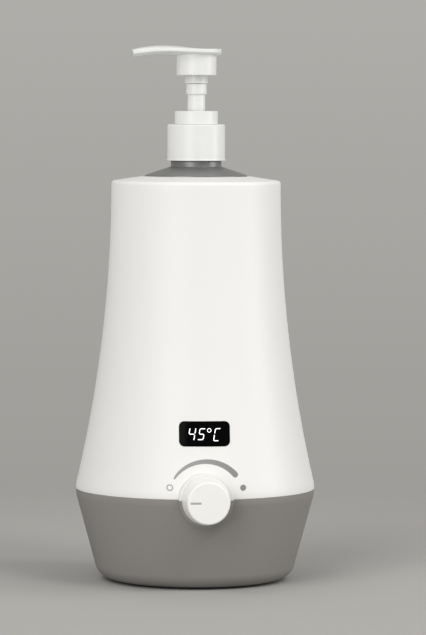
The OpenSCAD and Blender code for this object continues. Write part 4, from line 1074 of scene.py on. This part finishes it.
# %% Dial marks
SWEEP_IN_R, SWEEP_DROP, SWEEP_START, SWEEP_END = 20.2, 0.8, 143.7, 40.6
SWEEP_THIN, SWEEP_THICK, SWEEP_GROW, SWEEP_STEPS = 1.0, 3.2, 0.65, 60
OFF_MARK, OFF_R, OFF_PEN = (-19.3, 58.0), 1.5, 0.62
FULL_MARK, FULL_R, SPOT_HALF = (20.9, 57.7), 1.65, 0.02
sweep_points, sweep_pens = [], []
for k in range(SWEEP_STEPS + 1):
    share = k / SWEEP_STEPS
    angle = math.radians(SWEEP_START + (SWEEP_END - SWEEP_START) * share)
    pen = SWEEP_THIN + (SWEEP_THICK - SWEEP_THIN) * share ** SWEEP_GROW
    radius = SWEEP_IN_R + pen / 2
    sweep_points.append((radius * math.cos(angle), seam_z - SWEEP_DROP + radius * math.sin(angle)))
    sweep_pens.append(pen)
ink = finish["grey_print"].node_tree
place = add(ink, "ShaderNodeTexCoord").outputs["Object"]
across = add(ink, "ShaderNodeSeparateXYZ", {0: place}).outputs["X"]
grade = add(ink, "ShaderNodeMapRange", {"Value": across, "From Min": OFF_MARK[0] * MM,
                                        "From Max": FULL_MARK[0] * MM})
ink.links.new(grade.outputs["Result"], ink.nodes["Mix"].inputs[0])
full_spot = [(FULL_MARK[0] + side * SPOT_HALF, FULL_MARK[1]) for side in (-1, 1)]
dial = printed("dial_print", [stroke(sweep_points, sweep_pens), ring(*OFF_MARK, OFF_R, OFF_PEN),
                              stroke(full_spot, [2 * FULL_R] * 2)],
               upper, finish["grey_print"], "upper_housing")
print("dial print:", len(dial.data.polygons), "faces")

# %% [markdown]
# The read-out is a slanted segment display that shows a plain temperature. Blender's own font has no
# such figures, so each run of segments is one pen stroke, drawn upright and then leaned over. It glows,
# because LEDs light it from behind.

# %% Read-out
DIGIT_H, LEAN, SEGMENT_PEN, FOOT_DROP = 5.85, 0.184, 0.44, 0.1
window_low, window_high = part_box("display_window")
middle_z = (window_low.z + window_high.z) / 2 / MM


def leaned(x, z):
    """A point of the read-out, z above its foot line, leaned over."""
    return (x + z * LEAN, middle_z - DIGIT_H / 2 - FOOT_DROP + z)


def segments(*runs):
    """Pen strokes through leaned points."""
    return [stroke([leaned(x, z) for x, z in run], [SEGMENT_PEN] * len(run)) for run in runs]


MID_H, CUT = DIGIT_H / 2, 0.5
FOUR_L, FOUR_R = -9.1, -5.95
FIVE_L, FIVE_R = -3.6, -0.95
C_L, C_R, C_DROP = 4.87, 7.35, 0.66
DEGREE_AT, DEGREE_R, DEGREE_PEN = (2.5, 1.95), 1.0, 0.32
HALF_GAP, HAZE_MM = 0.62, 2.0
lit = segments(
    [(FOUR_L, DIGIT_H), (FOUR_L, MID_H + CUT), (FOUR_L + CUT, MID_H), (FOUR_R - CUT, MID_H)],
    [(FOUR_R, DIGIT_H), (FOUR_R, MID_H + HALF_GAP)],
    [(FOUR_R, MID_H - HALF_GAP), (FOUR_R, 0)],
    [(FIVE_R, DIGIT_H), (FIVE_L + CUT, DIGIT_H), (FIVE_L, DIGIT_H - CUT), (FIVE_L, MID_H + CUT),
     (FIVE_L + CUT, MID_H), (FIVE_R - CUT, MID_H), (FIVE_R, MID_H - CUT), (FIVE_R, CUT), (FIVE_R - CUT, 0),
     (FIVE_L, 0)],
    [(C_R, DIGIT_H), (C_L + CUT, DIGIT_H), (C_L, DIGIT_H - CUT), (C_L, MID_H + HALF_GAP)],
    [(C_L, MID_H - HALF_GAP), (C_L, CUT - C_DROP), (C_L + CUT, -C_DROP), (C_R, -C_DROP)])
lit.append(ring(DEGREE_AT[0], middle_z + DEGREE_AT[1], DEGREE_R, DEGREE_PEN))
# Lit segments: white light with a faint unevenness from the LEDs behind
glow, tree, shader, place = new_finish("lit_segments", Roughness=0.5, Emission_Strength=1.0)
haze = add(tree, "ShaderNodeTexNoise", {"Vector": place, "Scale": 1 / (HAZE_MM * MM), "Detail": 1.0})
tint = add(tree, "ShaderNodeMix", {0: haze.outputs["Fac"], 6: linear("#ffffff"), 7: linear("#f2f5f8")},
           data_type="RGBA")
for socket in ("Base Color", "Emission Color"):
    tree.links.new(tint.outputs[2], shader.inputs[socket])
printed("lit_readout", lit, soft_pieces["display_window"], glow, "display_window")
print("read-out:", len(lit), "strokes")

# %% [markdown]
# All fasteners are pan-head screws with a cross recess. Each could be modelled in its place, but one per
# set is enough: a small tree puts a copy of it on every spot, turned to face the right way.

# %% Fastener tree
def set_tree():
    """One fastener on each point, turned to an angle."""
    tree, given = geometry_tree("Set fasteners", {"Fastener": "Object", "Turn": "Rotation"})
    shape = add(tree, "GeometryNodeObjectInfo", {"Object": given["Fastener"]}).outputs["Geometry"]
    spots = add(tree, "GeometryNodeInstanceOnPoints", {"Points": given["Geometry"], "Instance": shape,
                                                       "Rotation": given["Turn"]}).outputs[0]
    close_tree(tree, given, spots)
    return tree


fastened = set_tree()
print("tree:", fastened.name, "with", len(fastened.nodes), "nodes")

# %% [markdown]
# One screw is turned like the cap, with a domed head and a blunt point. Its cross recess is cut by two
# crossed bars that grow narrower with depth, as the driver's tip does.

# %% One screw
HEAD_SHARE, POINT_SHARE = 0.6, 0.4
RECESS_SPAN, RECESS_W, RECESS_D, RECESS_TAPER, RECESS_CLEAR = 1.15, 0.32, 0.6, 0.55, 0.5


def screw(length, head_r, head_h, shank_r):
    """A pan-head screw that points up, its head's top at the origin, in millimetres."""
    blank = turned("screw", [
        (0, 0, 0), (head_r, 0, HEAD_SHARE * head_h), (head_r, head_h, 0.1), (shank_r, head_h, 0),
        (shank_r, length - shank_r, 0), (POINT_SHARE * shank_r, length, 0), (0, length, 0)],
        finish["zinc_steel"])
    tool = piece_from("recess", bpy.data.meshes.new("recess"))
    size = [RECESS_SPAN * head_r, RECESS_W * head_r]
    with reshaping(tool.data) as cutter:
        for turn in (0, 1):
            for vert in bmesh.ops.create_cube(cutter, size=1.0)["verts"]:
                deep = vert.co.z > 0
                shrink = RECESS_TAPER if deep else 1.0
                x, y = vert.co.x * size[turn] * shrink, vert.co.y * size[1 - turn] * shrink
                vert.co = (x * MM, y * MM, (RECESS_D * head_h if deep else -RECESS_CLEAR) * MM)
    cut = blank.modifiers.new("Recess", "BOOLEAN")
    cut.object = tool
    cut.use_self = True
    baked(blank)
    bpy.data.objects.remove(tool)
    return smoothed(blank)


# Radius and height of a head, and radius of its shank
LARGE_SCREW, SMALL_SCREW = (2.8, 2.2, 1.5), (2.2, 1.6, 1.2)
print("heads", 2 * LARGE_SCREW[0], "and", 2 * SMALL_SCREW[0], "mm wide")

# %% [markdown]
# The construction has a plain solid for every screw, several of them in one node. The code finds them by
# walking along the edges of the mesh, and each solid's box says where its head is and how long it is.

# %% Every screw
# The axis that each set lies along, the way it points and its size
SCREWS = {"housing_screws": (2, 1, LARGE_SCREW), "well_screws": (2, 1, SMALL_SCREW),
          "board_screws": (2, -1, SMALL_SCREW), "display_screws": (1, -1, SMALL_SCREW)}


def islands(node):
    """Box of each separate solid in a node: lowest and highest corners."""
    shape = welded(node)
    left = set(shape.verts)
    boxes = []
    while left:
        group, edge = set(), [left.pop()]
        while edge:
            vert = edge.pop()
            group.add(vert)
            near = [e.other_vert(vert) for e in vert.link_edges]
            fresh = [v for v in near if v in left]
            left.difference_update(fresh)
            edge.extend(fresh)
        corners = [[f(v.co[i] for v in group) for i in range(3)] for f in (min, max)]
        boxes.append([Vector(c) for c in corners])
    shape.free()
    return sorted(boxes, key=lambda box: tuple(round(v, 5) for v in box[0]))


for node, (axis, side, sizes) in SCREWS.items():
    boxes = islands(node)
    length = (boxes[0][1] - boxes[0][0])[axis] / MM
    pattern = screw(length, *sizes)
    spots = []
    for low, high in boxes:
        spot = (low + high) / 2
        spot[axis] = low[axis] if side > 0 else high[axis]
        spots.append(spot)
    way = Vector((0, 0, 0))
    way[axis] = side
    turn = Vector((0, 0, 1)).rotation_difference(way).to_euler()
    start = bpy.data.meshes.new("spots")
    start.from_pydata(spots, [], [])
    placed = grow(node + "_finished", fastened, start,
                  {"Fastener": pattern, "Turn": turn, "Material": finish["zinc_steel"]})
    bpy.data.objects.remove(pattern)
    settle(smoothed(placed), node)
    print(node, len(spots), "screws of", round(length, 1), "mm")

# %% [markdown]
# The camera stands about two metres away, a little to the left of the front and about level with the
# pump's collar, with a long lens, as for a catalogue photograph. Its numbers were fitted to the object's
# outline: the focal length is in pixels of a picture 426 wide and 635 high.

# %% Camera
PICTURE_W, PICTURE_H = 426, 635
FOCAL_PX, HORIZON_Y, AXIS_X = 3683.0, 106.8, 195.6
CAMERA_AWAY, CAMERA_UP, CAMERA_TURN, CAMERA_ROLL = 2.064, 0.2654, 4.96, 0.2
SENSOR_MM = 36.0
camera = bpy.data.objects.new("camera", bpy.data.cameras.new("camera"))
bpy.context.scene.collection.objects.link(camera)
camera.data.sensor_fit = "VERTICAL"
camera.data.sensor_height = SENSOR_MM
camera.data.sensor_width = SENSOR_MM
camera.data.lens = FOCAL_PX / PICTURE_H * SENSOR_MM
swing = math.radians(CAMERA_TURN)
camera.location = (-math.sin(swing) * CAMERA_AWAY, -math.cos(swing) * CAMERA_AWAY, CAMERA_UP)
heading = swing + math.atan((PICTURE_W / 2 - AXIS_X) / FOCAL_PX)
dip = math.atan((PICTURE_H / 2 - HORIZON_Y) / FOCAL_PX)
view = Vector((math.sin(heading) * math.cos(dip), math.cos(heading) * math.cos(dip), -math.sin(dip)))
camera.rotation_mode = "QUATERNION"
camera.rotation_quaternion = view.to_track_quat("-Z", "Y") @ Quaternion((0, 0, 1), math.radians(CAMERA_ROLL))
bpy.context.scene.camera = camera
print("lens", round(camera.data.lens, 1), "mm")

# %% [markdown]
# The floor is a wide pale disc that fades out before its rim, so it melts into the plain grey behind it
# and only the object's soft shadow is left. A curved studio sweep would do the same with more geometry.

# %% Floor
FLOOR_R, FADE_FROM, FADE_TO = 0.9, 0.30, 0.62
floor_mesh = bpy.data.meshes.new("floor")
with reshaping(floor_mesh) as disc:
    bmesh.ops.create_circle(disc, cap_ends=True, segments=96, radius=FLOOR_R)
floor = piece_from("floor", floor_mesh)
# Matt pale grey board
ground, tree, shader, place = new_finish("matt_grey_board", Roughness=0.9, Specular_IOR_Level=0.1)
shader.inputs["Base Color"].default_value = linear("#b4b3af")
far = add(tree, "ShaderNodeVectorMath", {0: place}, operation="LENGTH").outputs["Value"]
fade = add(tree, "ShaderNodeMapRange", {"Value": far, "From Min": FADE_FROM, "From Max": FADE_TO},
           interpolation_type="SMOOTHSTEP").outputs["Result"]
clear = add(tree, "ShaderNodeBsdfTransparent").outputs[0]
mixed = add(tree, "ShaderNodeMixShader", {0: fade, 1: shader.outputs[0], 2: clear}).outputs[0]
tree.links.new(mixed, tree.nodes["Material Output"].inputs["Surface"])
floor_mesh.materials.append(ground)
print("floor of", FLOOR_R, "m radius")

# %% [markdown]
# The world has two jobs. Rays from the camera, from glossy surfaces and through clear ones see the grey
# backdrop, a little lighter towards the top. All other rays see the studio's own light: a glow from the
# floor far around, a dark band at the height of the object, a brighter top and a soft fill from behind.

# %% Backdrop and studio light
BACKDROP_TOP, BACKDROP_LOW = "#aeada9", "#9d9c98"
TOP_RISE, LOW_RISE = 0.026, -0.107
FLOOR_GLOW, HORIZON_GLOW, TOP_GLOW, BACK_GLOW, BACK_RISE = 0.6, 0.03, 0.42, 0.7, 0.6
GLOW_TINT = (1.0, 0.995, 0.985)
# Heights on a sphere of radius 1 and the strength of the light from there
GLOW_STOPS = ((-0.05, FLOOR_GLOW), (0.05, HORIZON_GLOW), (0.35, HORIZON_GLOW), (0.6, TOP_GLOW))
world = bpy.data.worlds.new("studio")
bpy.context.scene.world = world
world.use_nodes = True
tree = world.node_tree
studio = tree.nodes["Background"]
way = add(tree, "ShaderNodeTexCoord").outputs["Generated"]
compass = add(tree, "ShaderNodeSeparateXYZ", {0: way}).outputs
rise = compass["Z"]
share = add(tree, "ShaderNodeMapRange", {"Value": rise, "From Min": -1.0}).outputs["Result"]
glow_ramp = add(tree, "ShaderNodeValToRGB", {"Fac": share})
stops = glow_ramp.color_ramp.elements
while len(stops) < len(GLOW_STOPS):
    stops.new(0.5)
for stop, (height, strength) in zip(stops, GLOW_STOPS):
    stop.position = (height + 1) / 2
    stop.color = [strength * tint for tint in GLOW_TINT] + [1.0]
behind = add(tree, "ShaderNodeMapRange", {"Value": compass["Y"], "To Max": BACK_GLOW}).outputs["Result"]
low = add(tree, "ShaderNodeMapRange", {"Value": rise, "From Max": BACK_RISE, "To Min": 1.0, "To Max": 0.0})
fill = add(tree, "ShaderNodeMath", {0: behind, 1: low.outputs["Result"]}, operation="MULTIPLY").outputs[0]
glow = add(tree, "ShaderNodeMix", {0: fill, 6: glow_ramp.outputs["Color"], 7: linear("#ffffff")},
           data_type="RGBA")
tree.links.new(glow.outputs[2], studio.inputs["Color"])
up = add(tree, "ShaderNodeMapRange", {"Value": rise, "From Min": LOW_RISE, "From Max": TOP_RISE})
grey = add(tree, "ShaderNodeMix", {0: up.outputs[0], 6: linear(BACKDROP_LOW), 7: linear(BACKDROP_TOP)},
           data_type="RGBA")
backdrop = add(tree, "ShaderNodeBackground", {"Color": grey.outputs[2]}).outputs[0]
ray = add(tree, "ShaderNodeLightPath").outputs
seen = add(tree, "ShaderNodeMath", {0: ray["Is Camera Ray"], 1: ray["Is Glossy Ray"]}, operation="MAXIMUM")
seen = add(tree, "ShaderNodeMath", {0: seen.outputs[0], 1: ray["Is Transmission Ray"]}, operation="MAXIMUM")
both = add(tree, "ShaderNodeMixShader", {0: seen.outputs[0], 1: studio.outputs[0], 2: backdrop}).outputs[0]
tree.links.new(both, tree.nodes["World Output"].inputs["Surface"])
bpy.context.scene.view_settings.view_transform = "Standard"
print("studio light of", len(GLOW_STOPS), "heights")

# %% [markdown]
# Two large soft boxes light the object, as the two bright bands on the bottle's neck tell: one beside
# the camera, a little to its left, and one far to the right that lifts the shaded side. Two higher ones
# light the crown and the knob's boss from above and give the floor its soft shadows. A Blender area lamp
# is a soft box in all but name, and it throws the same wide, soft-edged light.

# %% Lamps
AIM, LAMP_AWAY = Vector((0, 0, 0.14)), 2.5
# Degrees to the right of the camera and up, width and height in metres, and power in watts
SOFT_BOXES = {"front_softbox": (-27, 15, 1.4, 1.9, 28.0), "right_softbox": (82, 17, 0.7, 1.8, 23.0),
              "high_right_softbox": (45, 45, 0.8, 0.8, 14.0), "high_left_softbox": (-36, 52, 1.2, 1.2, 13.0)}


def softbox(name, turn, up, wide, tall, power):
    """A lamp that faces the object from LAMP_AWAY metres."""
    lamp = bpy.data.objects.new(name, bpy.data.lights.new(name, "AREA"))
    lamp.data.shape = "RECTANGLE"
    lamp.data.size = wide
    lamp.data.size_y = tall
    lamp.data.energy = power
    bpy.context.scene.collection.objects.link(lamp)
    side, lift = math.radians(turn - CAMERA_TURN), math.radians(up)
    way = Vector((math.cos(lift) * math.sin(side), -math.cos(lift) * math.cos(side), math.sin(lift)))
    lamp.location = AIM + way * LAMP_AWAY
    lamp.rotation_mode = "QUATERNION"
    lamp.rotation_quaternion = way.to_track_quat("Z", "Y")


for name, sizes in SOFT_BOXES.items():
    softbox(name, *sizes)
print(len(SOFT_BOXES), "soft boxes")
